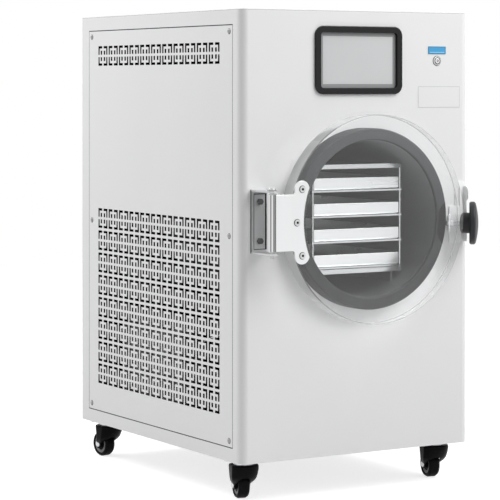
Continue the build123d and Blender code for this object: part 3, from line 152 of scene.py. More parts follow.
def surface(name, colour, roughness, tone=0.03, drift=7.0, grain=900.0, peel=0.05, metal=0.0,
            stretch=(1, 1, 1), shine=0.5):
    """A finish with a fine grain in its height and a slow drift in its tone and gloss."""
    paint = bpy.data.materials.new(name)
    paint.use_nodes = True
    tree = paint.node_tree
    skin = tree.nodes["Principled BSDF"]
    skin.inputs["Metallic"].default_value = metal
    skin.inputs["Specular IOR Level"].default_value = shine
    where = tree.nodes.new("ShaderNodeTexCoord")
    pull = tree.nodes.new("ShaderNodeMapping")
    pull.inputs["Scale"].default_value = stretch
    tree.links.new(where.outputs["Object"], pull.inputs["Vector"])
    slow = tree.nodes.new("ShaderNodeTexNoise")
    slow.inputs["Scale"].default_value = drift
    slow.inputs["Detail"].default_value = 5.0
    tree.links.new(pull.outputs["Vector"], slow.inputs["Vector"])
    shade = tree.nodes.new("ShaderNodeValToRGB")
    for stop, side in zip(shade.color_ramp.elements, (-1, 1)):
        stop.position = 0.5 + ramp_reach * side
        stop.color = (*[min(1.0, c * (1 + side * tone)) for c in colour], 1)
    tree.links.new(slow.outputs["Fac"], shade.inputs["Fac"])
    tree.links.new(shade.outputs["Color"], skin.inputs["Base Color"])
    gloss = tree.nodes.new("ShaderNodeMapRange")
    gloss.inputs["To Min"].default_value = roughness * gloss_low
    gloss.inputs["To Max"].default_value = min(1.0, roughness * gloss_high)
    tree.links.new(slow.outputs["Fac"], gloss.inputs["Value"])
    tree.links.new(gloss.outputs["Result"], skin.inputs["Roughness"])
    fine = tree.nodes.new("ShaderNodeTexNoise")
    fine.inputs["Scale"].default_value = grain
    fine.inputs["Detail"].default_value = 2.0
    tree.links.new(pull.outputs["Vector"], fine.inputs["Vector"])
    bump = tree.nodes.new("ShaderNodeBump")
    bump.inputs["Strength"].default_value = peel
    bump.inputs["Distance"].default_value = grain_deep
    tree.links.new(fine.outputs["Fac"], bump.inputs["Height"])
    tree.links.new(bump.outputs["Normal"], skin.inputs["Normal"])
    return paint


def made(name, shape):
    """A finished bmesh as an object."""
    mesh = bpy.data.meshes.new(name)
    shape.to_mesh(mesh)
    shape.free()
    thing = bpy.data.objects.new(name, mesh)
    bpy.context.collection.objects.link(thing)
    return thing


def piece(name, shape, paint, body, edge=0.0, stands_for=()):
    """A new piece from a finished bmesh: edges eased by a bevel, smooth between them."""
    thing = made(name, shape)
    thing.data.materials.append(paint)
    thing.data.shade_smooth()
    if edge:
        ease = thing.modifiers.new("eased edges", "BEVEL")
        ease.width = edge
        ease.segments = 2
        ease.limit_method = "ANGLE"
        ease.angle_limit = radians(30)
    level = thing.modifiers.new("flat faces", "WEIGHTED_NORMAL")
    level.weight = 90
    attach(thing, body)
    if stands_for:
        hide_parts(*stands_for)
    return thing


def eased(node, edge, paint):
    """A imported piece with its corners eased, as bending, moulding or tumbling leaves them."""
    shape = bmesh.new()
    shape.from_mesh(nodes[node].data)
    for layer in list(shape.loops.layers.float_vector):
        shape.loops.layers.float_vector.remove(layer)
    bmesh.ops.remove_doubles(shape, verts=shape.verts, dist=2e-6)
    bmesh.ops.dissolve_limit(shape, angle_limit=radians(0.6), verts=shape.verts, edges=shape.edges)
    for face in shape.faces:
        face.material_index = 0
    return piece(node + "_eased", shape, paint, body_of[node], edge, (node,))


cabinet_white = surface("cabinet_white", (0.80, 0.80, 0.805), 0.42, tone=0.008, peel=0.06)
back_white = surface("back_white", (0.72, 0.72, 0.73), 0.5, tone=0.012)
# Painted shade: a near-black paint for the insides that the vents look into.
inner_grey = surface("inner_grey", (0.007, 0.007, 0.0075), 0.8, tone=0.1, drift=30, peel=0.1, shine=0.0)
cabinet_middle = (shell_low + shell_high) / 2
for sheet, edge, coat in (("cabinet_shell", 0.0004, cabinet_white), ("top_cover", 0.0007, cabinet_white),
                          ("rear_panel", 0.0003, back_white), ("base_pan", 0.0005, back_white)):
    skin = eased(sheet, edge, coat)
    # Faces that look into the cabinet take the near-black paint, as painted shade.
    skin.data.materials.append(inner_grey)
    for face in skin.data.polygons:
        if face.normal.dot(cabinet_middle - face.center) > 0:
            face.material_index = 1

# ---------------------------------------------------------------- side panels
# Removable sheet panels, flush in the sides. Each vent is a grid of square cells, punched with
# four corner brackets and four short uprights. Black filter mats lie behind the vents, except
# behind the low one at the left, where the condenser draws its air.
vent_columns = 11
vent_rows = 8
vent_pitch = 0.0436
vent_middle = 0.312
vent_low, top_vent_low = 0.080, 0.7035
cell_half = 0.01925
bar_start, bar_low = 0.0031, 0.0146
leg_in, leg_start = 0.0141, 0.00235
stub_in, stub_out, stub_end = 0.0035, 0.0095, 0.0102
seam, seam_trim = 0.0012, 0.0006


def punched(across, up):
    """Whether a point, measured from its cell's middle, is in one of the cell's slots."""
    across, up = abs(across), abs(up)
    if max(across, up) > cell_half:
        return False
    bar = across > bar_start and up > bar_low
    leg = across > leg_in and up > leg_start
    stub = stub_in < across < stub_out and leg_start < up < stub_end
    return bar or leg or stub


def lines(low, high, middles, marks):
    """Where cuts may start and end across a panel: its edges, and the marks about each middle."""
    return sorted([low, high] + [m + side * mark for m in middles for mark in marks for side in (-1, 1)])


def grille_panel(node, outward):
    """A side panel with its vents punched, at the left (-1) or at the right (1)."""
    low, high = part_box(node)
    face = high.x if outward > 0 else low.x
    row_y = [shell_low.y + vent_middle + (c - (vent_columns - 1) / 2) * vent_pitch
             for c in range(vent_columns)]
    row_z = [shell_low.z + vent_low + r * vent_pitch + cell_half for r in range(vent_rows)]
    row_z.append(shell_low.z + top_vent_low + cell_half)
    ys = lines(low.y, high.y, row_y, (bar_start, stub_in, stub_out, leg_in, cell_half))
    zs = lines(low.z + seam_trim, high.z - seam_trim, row_z, (leg_start, stub_end, bar_low, cell_half))
    sheet = bmesh.new()
    grid = [[sheet.verts.new((face, y, z)) for z in zs] for y in ys]
    for i, (y0, y1) in enumerate(zip(ys, ys[1:])):
        cell_y = min(row_y, key=lambda c: abs(c - (y0 + y1) / 2))
        for j, (z0, z1) in enumerate(zip(zs, zs[1:])):
            cell_z = min(row_z, key=lambda c: abs(c - (z0 + z1) / 2))
            if not punched((y0 + y1) / 2 - cell_y, (z0 + z1) / 2 - cell_z):
                corners = [grid[i][j], grid[i + 1][j], grid[i + 1][j + 1], grid[i][j + 1]]
                sheet.faces.new(corners if outward > 0 else corners[::-1])
    bmesh.ops.delete(sheet, geom=[v for v in sheet.verts if not v.link_faces], context="VERTS")
    panel = piece(node + "_punched", sheet, cabinet_white, "cabinet", 0, (node,))
    panel.data.materials.append(inner_grey)
    thick = panel.modifiers.new("sheet", "SOLIDIFY")
    thick.thickness = high.x - low.x
    thick.offset = -1
    # The sheet's back and the walls of its slots take the near-black paint, as painted shade, so the
    # slots look dark.
    thick.material_offset = 1
    thick.material_offset_rim = 1
    panel.data.shade_flat()


grille_panel("side_panel_left", -1)
grille_panel("side_panel_right", 1)
mat_gap, mat_past, mat_pleat, mat_deep, mat_felt = 0.002, 0.005, 0.006, 0.0025, 0.001
mat_black = surface("mat_black", (0.008, 0.008, 0.008), 0.95, tone=0.2, grain=1200, peel=0.6, shine=0.0)


def dust_mat(name, node, outward, first, last):
    """A pleated black filter mat behind the rows of a vent, from the first to the last."""
    low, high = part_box(node)
    back = (low.x if outward > 0 else high.x) - outward * mat_gap
    start = shell_low.y + vent_middle - (vent_columns - 1) / 2 * vent_pitch - cell_half - mat_past
    length = (vent_columns - 1) * vent_pitch + 2 * (cell_half + mat_past)
    count = round(length / mat_pleat)
    sheet = bmesh.new()
    pairs = []
    for i in range(count + 1):
        x = back - outward * (mat_deep if i % 2 else 0)
        y = start + length * i / count
        pairs.append([sheet.verts.new((x, y, z)) for z in (first - mat_past, last + mat_past)])
    for one, two in zip(pairs, pairs[1:]):
        sheet.faces.new((one[0], two[0], two[1], one[1]))
    mat = piece(name, sheet, mat_black, "cabinet")
    thick = mat.modifiers.new("felt", "SOLIDIFY")
    thick.thickness = mat_felt
    thick.offset = 0
    mat.data.shade_flat()


low_first = shell_low.z + vent_low
low_last = low_first + (vent_rows - 1) * vent_pitch + 2 * cell_half
top_first = shell_low.z + top_vent_low
dust_mat("top_mat_left", "side_panel_left", -1, top_first, top_first + 2 * cell_half)
dust_mat("top_mat_right", "side_panel_right", 1, top_first, top_first + 2 * cell_half)
dust_mat("low_mat_right", "side_panel_right", 1, low_first, low_last)
strip_reach, strip_sunk, strip_deep = 0.96 * seam, 0.0003, 0.0009
edging = surface("edging", (0.02, 0.02, 0.021), 0.6, grain=1600, peel=0.1, shine=0.2)


def seam_strip(node, outward):
    """Dark edging in the joint round a panel, a little below its face."""
    low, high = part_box(node)
    top = (high.x if outward > 0 else low.x) - outward * strip_sunk
    bottom = top - outward * strip_deep
    strip = bmesh.new()
    loops = []
    for x in (bottom, top):
        for wide, tall in ((0.0, -seam_trim), (strip_reach, strip_reach)):
            loops.append([strip.verts.new((x, y, z)) for y, z in (
                (low.y - wide, low.z - tall), (high.y + wide, low.z - tall),
                (high.y + wide, high.z + tall), (low.y - wide, high.z + tall))])
    for one, two in ((0, 1), (2, 3), (0, 2), (1, 3)):
        for i in range(4):
            j = (i + 1) % 4
            strip.faces.new((loops[one][i], loops[one][j], loops[two][j], loops[two][i]))
    bmesh.ops.recalc_face_normals(strip, faces=strip.faces)
    piece(node + "_edging", strip, edging, "cabinet")


seam_strip("side_panel_left", -1)
seam_strip("side_panel_right", 1)

# ---------------------------------------------------------------- screws and bolts
# Small zinc-plated pan heads with a cross recess: twelve hold the side panels to the ledges
# behind them, and three in a column hold the clamp's bracket to the front. The casters' bolts
# have the same plating.
cross_wide, cross_narrow, cross_clear = 0.55, 0.12, 0.002


def standing(place, axis):
    """The placing of a piece that stands on a place and points along an axis."""
    return Matrix.Translation(place) @ Vector(axis).to_track_quat("Z", "Y").to_matrix().to_4x4()


def turned(profile, place, axis, steps=64, closed=False):
    """A bmesh spun from (radius, height) points round an axis through a place.
    A point of no radius is one tip on the axis, and a closed profile makes a ring."""
    shape = bmesh.new()
    base = standing(place, axis)
    rings = []
    for radius, height in profile:
        count = steps if radius else 1
        turns = [2 * pi * i / steps for i in range(count)]
        rings.append([shape.verts.new(base @ Vector((radius * cos(a), radius * sin(a), height)))
                      for a in turns])
    pairs = list(zip(rings, rings[1:])) + ([(rings[-1], rings[0])] if closed else [])
    for one, two in pairs:
        for i in range(steps):
            corners = [ring[(i + k) % len(ring)] for ring, k in ((one, 0), (one, 1), (two, 1), (two, 0))]
            loop = list(dict.fromkeys(corners))
            if len(loop) > 2:
                shape.faces.new(loop)
    bmesh.ops.recalc_face_normals(shape, faces=shape.faces)
    return shape


def slab(points, way):
    """A bmesh of a flat outline thickened along a vector."""
    shape = bmesh.new()
    face = shape.faces.new([shape.verts.new(point) for point in points])
    grown = bmesh.ops.extrude_face_region(shape, geom=[face])
    moved = [v for v in grown["geom"] if isinstance(v, bmesh.types.BMVert)]
    bmesh.ops.translate(shape, vec=way, verts=moved)
    bmesh.ops.recalc_face_normals(shape, faces=shape.faces)
    return shape


def screw_head(radius, height, deep, place, axis):
    """A pan head that stands on a place, with a cross recess sunk in its top."""
    profile = [(0, 0), (radius, 0), (radius, height * 0.45), (radius * 0.86, height * 0.78),
               (radius * 0.6, height * 0.94), (0, height)]
    body = made("head", turned(profile, (0, 0, 0), (0, 0, 1), 32))
    wide, narrow = radius * cross_wide, radius * cross_narrow
    arm = [(narrow, wide), (narrow, narrow), (wide, narrow)]
    corners = [(sx * x, sy * y) for sx, sy, flip in ((1, 1, 1), (1, -1, -1), (-1, -1, 1), (-1, 1, -1))
               for x, y in arm[::flip]]
    sunk = slab([(x, y, height - deep) for x, y in corners], (0, 0, deep + cross_clear))
    tool = made("head_cutter", sunk)
    cut = body.modifiers.new("recess", "BOOLEAN")
    cut.object = tool
    cut.solver = "EXACT"
    bpy.context.view_layer.update()
    done = bmesh.new()
    done.from_object(body, bpy.context.evaluated_depsgraph_get())
    bpy.data.objects.remove(body)
    bpy.data.objects.remove(tool)
    done.transform(standing(place, axis))
    return done


def washer(inner, outer, outer_rise, inner_rise, place, axis, steps):
    """A thin ring on a face, with its own height at its outer and at its inner edge."""
    return turned([(inner, 0), (outer, 0), (outer, outer_rise), (inner, inner_rise)], place, axis, steps,
                  closed=True)


def gathered(shapes):
    """Several bmeshes as one."""
    whole = bmesh.new()
    for shape in shapes:
        part = bpy.data.meshes.new("part")
        shape.to_mesh(part)
        shape.free()
        whole.from_mesh(part)
        bpy.data.meshes.remove(part)
    return whole


zinc = surface("zinc", (0.60, 0.61, 0.63), 0.32, tone=0.08, drift=300, grain=4000, peel=0.05, metal=1.0)
dull_zinc = surface("dull_zinc", (0.33, 0.335, 0.34), 0.4, tone=0.1, drift=300, grain=4000, metal=0.8)
side_head_r, side_head_h, side_cross = 0.0044, 0.0016, 0.0009
side_ring_w, side_ring_out, side_ring_in = 0.0008, 0.0002, 0.0004
panel_low, panel_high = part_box("side_panel_left")
screw_inset = 0.0125
screw_ys = (panel_low.y - seam + screw_inset, panel_high.y + seam - screw_inset)
screw_zs = (panel_low.z - seam + screw_inset, (panel_low.z + panel_high.z) / 2,
            panel_high.z + seam - screw_inset)
heads, shadow_rings = [], []
for outward, face in ((-1, shell_low.x), (1, shell_high.x)):
    for y in screw_ys:
        for z in screw_zs:
            heads.append(screw_head(side_head_r, side_head_h, side_cross, (face, y, z), (outward, 0, 0)))
            # A thin dark ring round each head: painted shadow under the head's rim.
            shadow_rings.append(washer(side_head_r, side_head_r + side_ring_w, side_ring_out, side_ring_in,
                                  (face, y, z), (outward, 0, 0), 32))
piece("side_screw_heads", gathered(heads), dull_zinc, "cabinet", 0, ("side_panel_screws",))
piece("side_screw_washers", gathered(shadow_rings), edging, "cabinet")

clamp_low, clamp_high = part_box("latch_screws")
clamp_head_r, clamp_head_h, clamp_cross, clamp_pitch = 0.0038, 0.0022, 0.0012, 0.031
clamp_x = (clamp_low.x + clamp_high.x) / 2
clamp_face = clamp_low.y + clamp_head_h
clamp_first, clamp_last = clamp_low.z + clamp_head_r, clamp_high.z - clamp_head_r
heads = [screw_head(clamp_head_r, clamp_head_h, clamp_cross, (clamp_x, clamp_face, z), (0, -1, 0))
         for z in (clamp_first, clamp_first + clamp_pitch, clamp_last)]
piece("clamp_screw_heads", gathered(heads), zinc, "cabinet", 0, ("latch_screws",))
eased("caster_bolts", 0.0003, zinc)

# ---------------------------------------------------------------- chamber, jacket and gasket
# A drawn stainless drum with a dull inner wall, foamed round outside. Its neck wears a thick
# grey rubber sleeve that the door shuts against, with a black pad let in on the clamp's side.


def painted_shading(paint, axis, start, end, stops):
    """A painted shading: a tone that changes across a piece, from start to end along one of its axes."""
    tree = paint.node_tree
    where = tree.nodes.new("ShaderNodeTexCoord")
    split = tree.nodes.new("ShaderNodeSeparateXYZ")
    along = tree.nodes.new("ShaderNodeMapRange")
    along.inputs["From Min"].default_value = start
    along.inputs["From Max"].default_value = end
    bands = tree.nodes.new("ShaderNodeValToRGB")
    ends = bands.color_ramp.elements
    for place, grey in stops:
        stop = ends[0] if place == 0 else ends[-1] if place == 1 else ends.new(place)
        stop.color = (grey, grey, grey, 1)
    tint = tree.nodes.new("ShaderNodeMix")
    tint.data_type, tint.blend_type = "RGBA", "MULTIPLY"
    tint.inputs[0].default_value = 1.0
    skin = tree.nodes["Principled BSDF"]
    tree.links.new(where.outputs["Object"], split.inputs[0])
    tree.links.new(split.outputs[axis], along.inputs["Value"])
    tree.links.new(along.outputs["Result"], bands.inputs["Fac"])
    tree.links.new(skin.inputs["Base Color"].links[0].from_socket, tint.inputs[6])
    tree.links.new(bands.outputs["Color"], tint.inputs[7])
    tree.links.new(tint.outputs[2], skin.inputs["Base Color"])


drum_steel = surface("drum_steel", (0.31, 0.318, 0.325), 0.6, tone=0.05, drift=30, grain=1500,
                     peel=0.04, metal=0.3, stretch=(1, 0.05, 1))
foam = surface("foam", (0.014, 0.014, 0.015), 0.85, tone=0.08, drift=60, grain=500, peel=0.5)
grey_rubber = surface("grey_rubber", (0.052, 0.055, 0.058), 0.55, tone=0.05, grain=1600, peel=0.08,
                      shine=0.25)
black_rubber = surface("black_rubber", (0.004, 0.004, 0.0045), 0.6, tone=0.08, grain=1600, peel=0.08,
                       shine=0.05)
sleeve_low, sleeve_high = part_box("door_gasket")
# Painted shade: the drum's wall and the rubber sleeve are darker towards the bottom and lighter towards
# the top.
painted_shading(drum_steel, "Z", sleeve_low.z, sleeve_high.z, ((0, 0.12), (0.5, 0.42), (1, 1.0)))
painted_shading(grey_rubber, "Z", sleeve_low.z, sleeve_high.z, ((0, 0.33), (0.45, 0.4), (1, 1.0)))
eased("chamber_drum", 0.0008, drum_steel)
eased("chamber_insulation", 0.003, foam)
eased("door_gasket", 0.0012, grey_rubber)
eased("latch_pad", 0.0004, black_rubber)

# ---------------------------------------------------------------- rack, shelves and trays
# Stainless sheet, bright from the mill: two plates and four rods, heated shelves between them,
# and a folded tray on each shelf. The grain of the sheet runs across the door.
rack_steel = surface("rack_steel", (0.62, 0.63, 0.64), 0.22, tone=0.06, drift=25, grain=900,
                     peel=0.03, metal=1.0, stretch=(0.04, 1, 1))
tray_steel = surface("tray_steel", (0.78, 0.785, 0.79), 0.28, tone=0.04, drift=25, grain=900,
                     peel=0.03, metal=1.0, stretch=(0.04, 1, 1))
eased("rack_frame", 0.0003, rack_steel)
for number in (1, 2, 3, 4):
    eased(f"shelf_{number}", 0.0005, rack_steel)
    eased(f"tray_{number}", 0.00035, tray_steel)

# ---------------------------------------------------------------- door
# A thick disc of clear cast acrylic with polished faces. Its rim is painted pale and half clear, most
# opaque by the hinge and clearer towards the knob, as painted light, and its chamfers are painted a
# half-clear grey as painted shade along its edges. The leaf's three screws sit in blind tapped holes.
disc_low, disc_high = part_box("door_disc")
disc_middle = (disc_low + disc_high) / 2
disc_r = (disc_high.x - disc_low.x) / 2
disc_edge = 0.0015
# How far a face's normal leans forward: above the first on a flat face, below the second on a rim.
flat_above, rim_below = 0.95, 0.3
acrylic = bpy.data.materials.new("acrylic")
acrylic.use_nodes = True
tree = acrylic.node_tree
clear = tree.nodes["Principled BSDF"]
clear.inputs["Base Color"].default_value = (0.985, 0.992, 0.992, 1)
clear.inputs["Transmission Weight"].default_value = 1.0
clear.inputs["IOR"].default_value = 1.49
haze = tree.nodes.new("ShaderNodeTexNoise")
haze.inputs["Scale"].default_value = 12.0
where = tree.nodes.new("ShaderNodeTexCoord")
tree.links.new(where.outputs["Object"], haze.inputs["Vector"])
polish = tree.nodes.new("ShaderNodeMapRange")
polish.inputs["From Min"].default_value = 0.55
polish.inputs["To Min"].default_value = 0.0
polish.inputs["To Max"].default_value = 0.02
tree.links.new(haze.outputs["Fac"], polish.inputs["Value"])
tree.links.new(polish.outputs["Result"], clear.inputs["Roughness"])
# Painted shade: a grey, half-clear paint on the chamfers for the dark line along the disc's edges.
cut_edge = surface("cut_edge", (0.42, 0.43, 0.43), 0.5, tone=0.05, drift=30, grain=700, shine=0.3)
cut_edge.node_tree.nodes["Principled BSDF"].inputs["Alpha"].default_value = 0.5
disc = eased("door_disc", 0.0, acrylic)
disc.visible_shadow = False
disc.data.materials.append(cut_edge)
# Painted light: the rim is pale and most opaque at the hinge side, clearer step by step towards the knob,
# for the bright front seen through the rim.
rim_steps, hinge_side_alpha, knob_side_alpha = 6, 0.6, 0.15
for step in range(rim_steps):
    rim = surface(f"rim_{step + 1}", (0.90, 0.91, 0.91), 0.55, tone=0.05, drift=30, grain=600, peel=0.15,
                  shine=0.3)
    share = step / (rim_steps - 1)
    alpha = rim.node_tree.nodes["Principled BSDF"].inputs["Alpha"]
    alpha.default_value = hinge_side_alpha + (knob_side_alpha - hinge_side_alpha) * share
    disc.data.materials.append(rim)
# Chamfers take the grey painted shade, and the rim takes the steps of painted light by how far across the
# disc they lie.
for face in disc.data.polygons:
    away = Vector((face.center.x - disc_middle.x, face.center.z - disc_middle.z)).length
    if abs(face.normal.y) < flat_above and away > disc_r - 2 * disc_edge:
        share = (face.center.x - disc_low.x) / (2 * disc_r)
        face.material_index = 2 + int(rim_steps * share) if abs(face.normal.y) < rim_below else 1

# ---------------------------------------------------------------- hinge and door leaf
# Pressed stainless: a bracket bolted to the front, a pin dropped through its ears, and a leaf
# rolled round the pin and screwed to the disc. Brushed flat. The rolled knuckle carries painted
# highlight and shade in bands, and dark strips of painted shadow lie along its seam and the bracket's
# folds.


def joint(name):
    """A packed joint, found by its name."""
    return next(j for j in behaviour["joints"] if j["name"] == name)


leaf_steel = surface("leaf_steel", (0.70, 0.705, 0.71), 0.36, tone=0.02, drift=40, grain=1200,
                     peel=0.03, metal=1.0, stretch=(1, 1, 0.05))
# Painted shade: the bracket's steel is a darker, less metallic copy of the leaf's, for the shade between
# the bracket's ears; the leaf's screws share it.
bracket_steel = surface("bracket_steel", (0.60, 0.605, 0.61), 0.32, tone=0.05, drift=40, grain=1200,
                        peel=0.03, metal=0.6, stretch=(1, 1, 0.05))
pin_steel = surface("pin_steel", (0.45, 0.455, 0.46), 0.3, tone=0.05, drift=200, grain=2500, metal=1.0)
# Black oxide for the sockets, the screw rings and the pin's washer; the same black also paints the shadow
# strips at the hinge.
black_oxide = surface("black_oxide", (0.010, 0.010, 0.011), 0.38, tone=0.1, drift=200, grain=2500,
                      shine=0.1)
bolt_zinc = surface("bolt_zinc", (0.10, 0.10, 0.102), 0.38, tone=0.1, drift=200, grain=2500, shine=0.3)
# Painted highlight and shade: a lighter copy of the leaf's steel for the knuckle, banded below.
knuckle_steel = surface("knuckle_steel", (0.74, 0.745, 0.75), 0.3, tone=0.02, drift=40, grain=1200,
                        peel=0.03, metal=1.0, stretch=(1, 1, 0.05))
pin_x, pin_y, door_z = joint("door_hinge")["pos_m"]
leaf_low, leaf_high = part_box("door_leaf")
screws_low, screws_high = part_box("door_leaf_screws")
head_r, socket_r, socket_deep, socket_out = 0.0056, 0.0026, 0.0009, 0.0015
ring_w, ring_out, ring_in = 0.0009, 0.0001, 0.0003
lobe_x, middle_x = screws_high.x - head_r, screws_low.x + head_r
lobe_up = screws_high.z - head_r - door_z
lobe_r = leaf_high.z - door_z - lobe_up
leaf_half, leaf_thick, leaf_arc_r, neck_r = 0.0492, 0.004, 0.1608, 0.004
knuckle_r, knuckle_bore, skin_near = 0.0085, 0.00405, 0.0002
# Painted highlight and shade: light and dark bands across the knuckle's depth, for how light falls on the
# round barrel.
painted_shading(knuckle_steel, "Y", pin_y + knuckle_r, pin_y - knuckle_r,
       ((0.0, 0.5), (0.3, 0.85), (0.8, 0.85), (0.83, 0.16), (0.88, 0.16), (0.90, 1.0), (0.965, 1.0),
        (0.98, 0.3), (1.0, 0.3)))


def arc(x, z, radius, start, end, steps=16):
    """Points on an arc, in degrees, going either way."""
    return [(x + radius * cos(radians(start + (end - start) * i / steps)),
             z + radius * sin(radians(start + (end - start) * i / steps))) for i in range(steps + 1)]


lobe_away = Vector((lobe_x - disc_middle.x, lobe_up))
reach = (leaf_arc_r ** 2 - lobe_r ** 2 + lobe_away.length ** 2) / (2 * lobe_away.length)
across = (leaf_arc_r ** 2 - reach ** 2) ** 0.5
meet = lobe_away.normalized() * reach + Vector((lobe_up, -lobe_away.x)).normalized() * across
lobe_end = degrees(atan2(meet.y - lobe_up, meet.x - lobe_away.x))
leaf_end = degrees(atan2(meet.y, meet.x))
upper = (arc(disc_middle.x, 0, leaf_arc_r, 180, leaf_end, 12)
         + arc(lobe_x, lobe_up, lobe_r, lobe_end, 180, 28)[1:]
         + arc(lobe_x - lobe_r - neck_r, leaf_half + neck_r, neck_r, 0, -90, 6) + [(pin_x, leaf_half)])
outline = upper + [(x, -z) for x, z in upper[:0:-1]]
flat = slab([(x, leaf_low.y, door_z + z) for x, z in outline], (0, leaf_thick, 0))
roll = turned([(knuckle_bore, -leaf_half), (knuckle_r, -leaf_half), (knuckle_r, leaf_half),
               (knuckle_bore, leaf_half)], (pin_x, pin_y, door_z), (0, 0, 1), 64, closed=True)
leaf = piece("door_leaf_rolled", gathered([flat, roll]), leaf_steel, "door",
             0.0005, ("door_leaf",))
# The knuckle's round faces take the painted highlight and shade.
leaf.data.materials.append(knuckle_steel)
for face in leaf.data.polygons:
    away = Vector((face.center.x - pin_x, face.center.y - pin_y)).length
    if abs(face.normal.z) < rim_below and abs(away - knuckle_r) < skin_near:
        face.material_index = 1
# The bracket takes the darker steel, as painted shade.
eased("hinge_bracket", 0.0005, bracket_steel)
eased("hinge_bolts", 0.0004, bolt_zinc)
eased("hinge_pin", 0.0004, pin_steel)
eased("door_leaf_screws", 0.0003, bracket_steel)
sockets, rings = [], []
for x, z in ((lobe_x, screws_high.z - head_r), (middle_x, door_z), (lobe_x, screws_low.z + head_r)):
    sockets.append(turned([(0, 0), (socket_r, 0), (socket_r, socket_deep), (0, socket_deep)],
                          (x, screws_low.y + socket_out, z), (0, -1, 0), 6))
    rings.append(washer(head_r, head_r + ring_w, ring_out, ring_in, (x, leaf_low.y, z), (0, -1, 0), 40))
piece("leaf_screw_sockets", gathered(sockets), black_oxide, "door")
piece("leaf_screw_rings", gathered(rings), black_oxide, "door")
shadow_strip_taper = 0.002


def shadow_strip(corners, lift):
    """A thin strip of painted shadow between four corners, raised by lift."""
    strip = bmesh.new()
    middle = sum((Vector(c) for c in corners), Vector()) / 4
    low = [strip.verts.new(c) for c in corners]
    high = [strip.verts.new(Vector(c).lerp(middle, shadow_strip_taper) + Vector(lift)) for c in corners]
    strip.faces.new(low)
    strip.faces.new(high[::-1])
    for i in range(4):
        strip.faces.new((low[i], high[i], high[(i + 1) % 4], low[(i + 1) % 4]))
    bmesh.ops.recalc_face_normals(strip, faces=strip.faces)
    return strip


def front_shadow_strip(x0, z0, x1, z1, face, rise):
    """A painted shadow strip on a face that looks forward, from one corner to the other."""
    return shadow_strip([(x0, face, z0), (x1, face, z0), (x1, face, z1), (x0, face, z1)], (0, -rise, 0))


# Painted shadow: a dark strip on the leaf where the rolled knuckle closes against the flat.
roll_start, roll_end, roll_rise = pin_x + 0.0005, pin_x + 0.0021, 0.0001
roll_shadow = front_shadow_strip(roll_start, door_z - leaf_half, roll_end, door_z + leaf_half,
                        leaf_low.y, roll_rise)
piece("leaf_roll_line", roll_shadow, black_oxide, "door")
ear_low, ear_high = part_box("hinge_bracket")
plate_t, plate_left, plate_right = 0.003, pin_x - 0.0065, pin_x + 0.0240
plate_face = shell_low.y - plate_t
fold_left, fold_right = plate_left + 0.0036, plate_right - 0.0004
fold_low, fold_high = ear_low.z + plate_t + 0.0034, ear_high.z - plate_t - 0.0040
left_w, right_w, low_w, high_w, foot_w, shadow_rise = 0.001, 0.003, 0.0012, 0.0016, 0.0012, 0.0002
# Painted shadows on the bracket: dark strips inside its left and right edges, above the bottom ear, under
# the top ear, and on the front along its left edge.
fold_shadows = [front_shadow_strip(*line, shadow_rise) for line in (
    (fold_left, fold_low, fold_left + left_w, fold_high, plate_face),
    (fold_right - right_w, fold_low, fold_right, fold_high, plate_face),
    (fold_left, fold_low, fold_right, fold_low + low_w, plate_face),
    (fold_left, fold_high - high_w, fold_right, fold_high, plate_face),
    (plate_left - foot_w, ear_low.z, plate_left, ear_high.z, shell_low.y))]
piece("bracket_fold_lines", gathered(fold_shadows), black_oxide, "cabinet")
pin_ring_in_r, pin_ring_out_r, pin_ring_out, pin_ring_in = 0.0071, 0.0084, 0.0006, 0.0008
piece("pin_washer", washer(pin_ring_in_r, pin_ring_out_r, pin_ring_out, pin_ring_in,
                           (pin_x, pin_y, ear_high.z), (0, 0, 1), 40),
      black_oxide, "cabinet")

# ---------------------------------------------------------------- door clamp
# A stainless bracket, a zinc nut on its slanted flange, a bright threaded stud, and a moulded
# mushroom knob that is screwed in against the disc's rim.
# Painted reflection: the clamp's bracket is painted near white and barely metallic, for the white
# surround its steel reflects.
pressed_steel = surface("pressed_steel", (0.93, 0.935, 0.94), 0.4, tone=0.02, drift=40, grain=1200,
                        peel=0.03, metal=0.1, stretch=(1, 1, 0.05))
eased("latch_bracket", 0.0005, pressed_steel)
eased("latch_nut", 0.0004, zinc)
stud_steel = surface("stud_steel", (0.35, 0.355, 0.36), 0.25, tone=0.05, drift=200, grain=3000, metal=1.0)
eased("latch_stud", 0.0003, stud_steel)
feed = joint("clamp_turn")
clamp_way = Vector(feed["axis"])
clamp_foot = Vector(feed["pos_m"])
tip_r, tip_back, tip_front, tip_ease = 0.00403, -0.00802, -0.0035, 0.0008
piece("latch_tip", turned([(0, tip_back), (tip_r - tip_ease, tip_back), (tip_r, tip_back + tip_ease),
                           (tip_r, tip_front), (0, tip_front)], clamp_foot, clamp_way, 24),
      black_rubber, "clamp_screw")
knob_plastic = surface("knob_plastic", (0.022, 0.023, 0.025), 0.42, tone=0.06, grain=1300, peel=0.1,
                       shine=0.25)
hub_start, hub_end, hub_r, hub_ease = 0.020, 0.0445, 0.019, 0.0015
cap_r, cap_edge, cap_crown, cap_under, cap_round = 0.0395, 0.0555, 0.0612, 0.0025, 0.003
knob_profile = [(0, hub_start), (hub_r - hub_ease, hub_start), (hub_r, hub_start + hub_ease),
                (hub_r, hub_end), (cap_r - cap_under, hub_end), (cap_r, hub_end + cap_under)]
knob_profile += arc(cap_r - cap_round, cap_edge - cap_round, cap_round, 0, 60, 2)
knob_profile += [(cap_r * share, cap_edge + (cap_crown - cap_edge) * (1 - share ** 2))
                 for share in (0.92, 0.8, 0.65, 0.5, 0.35, 0.2, 0.1)] + [(0, cap_crown)]
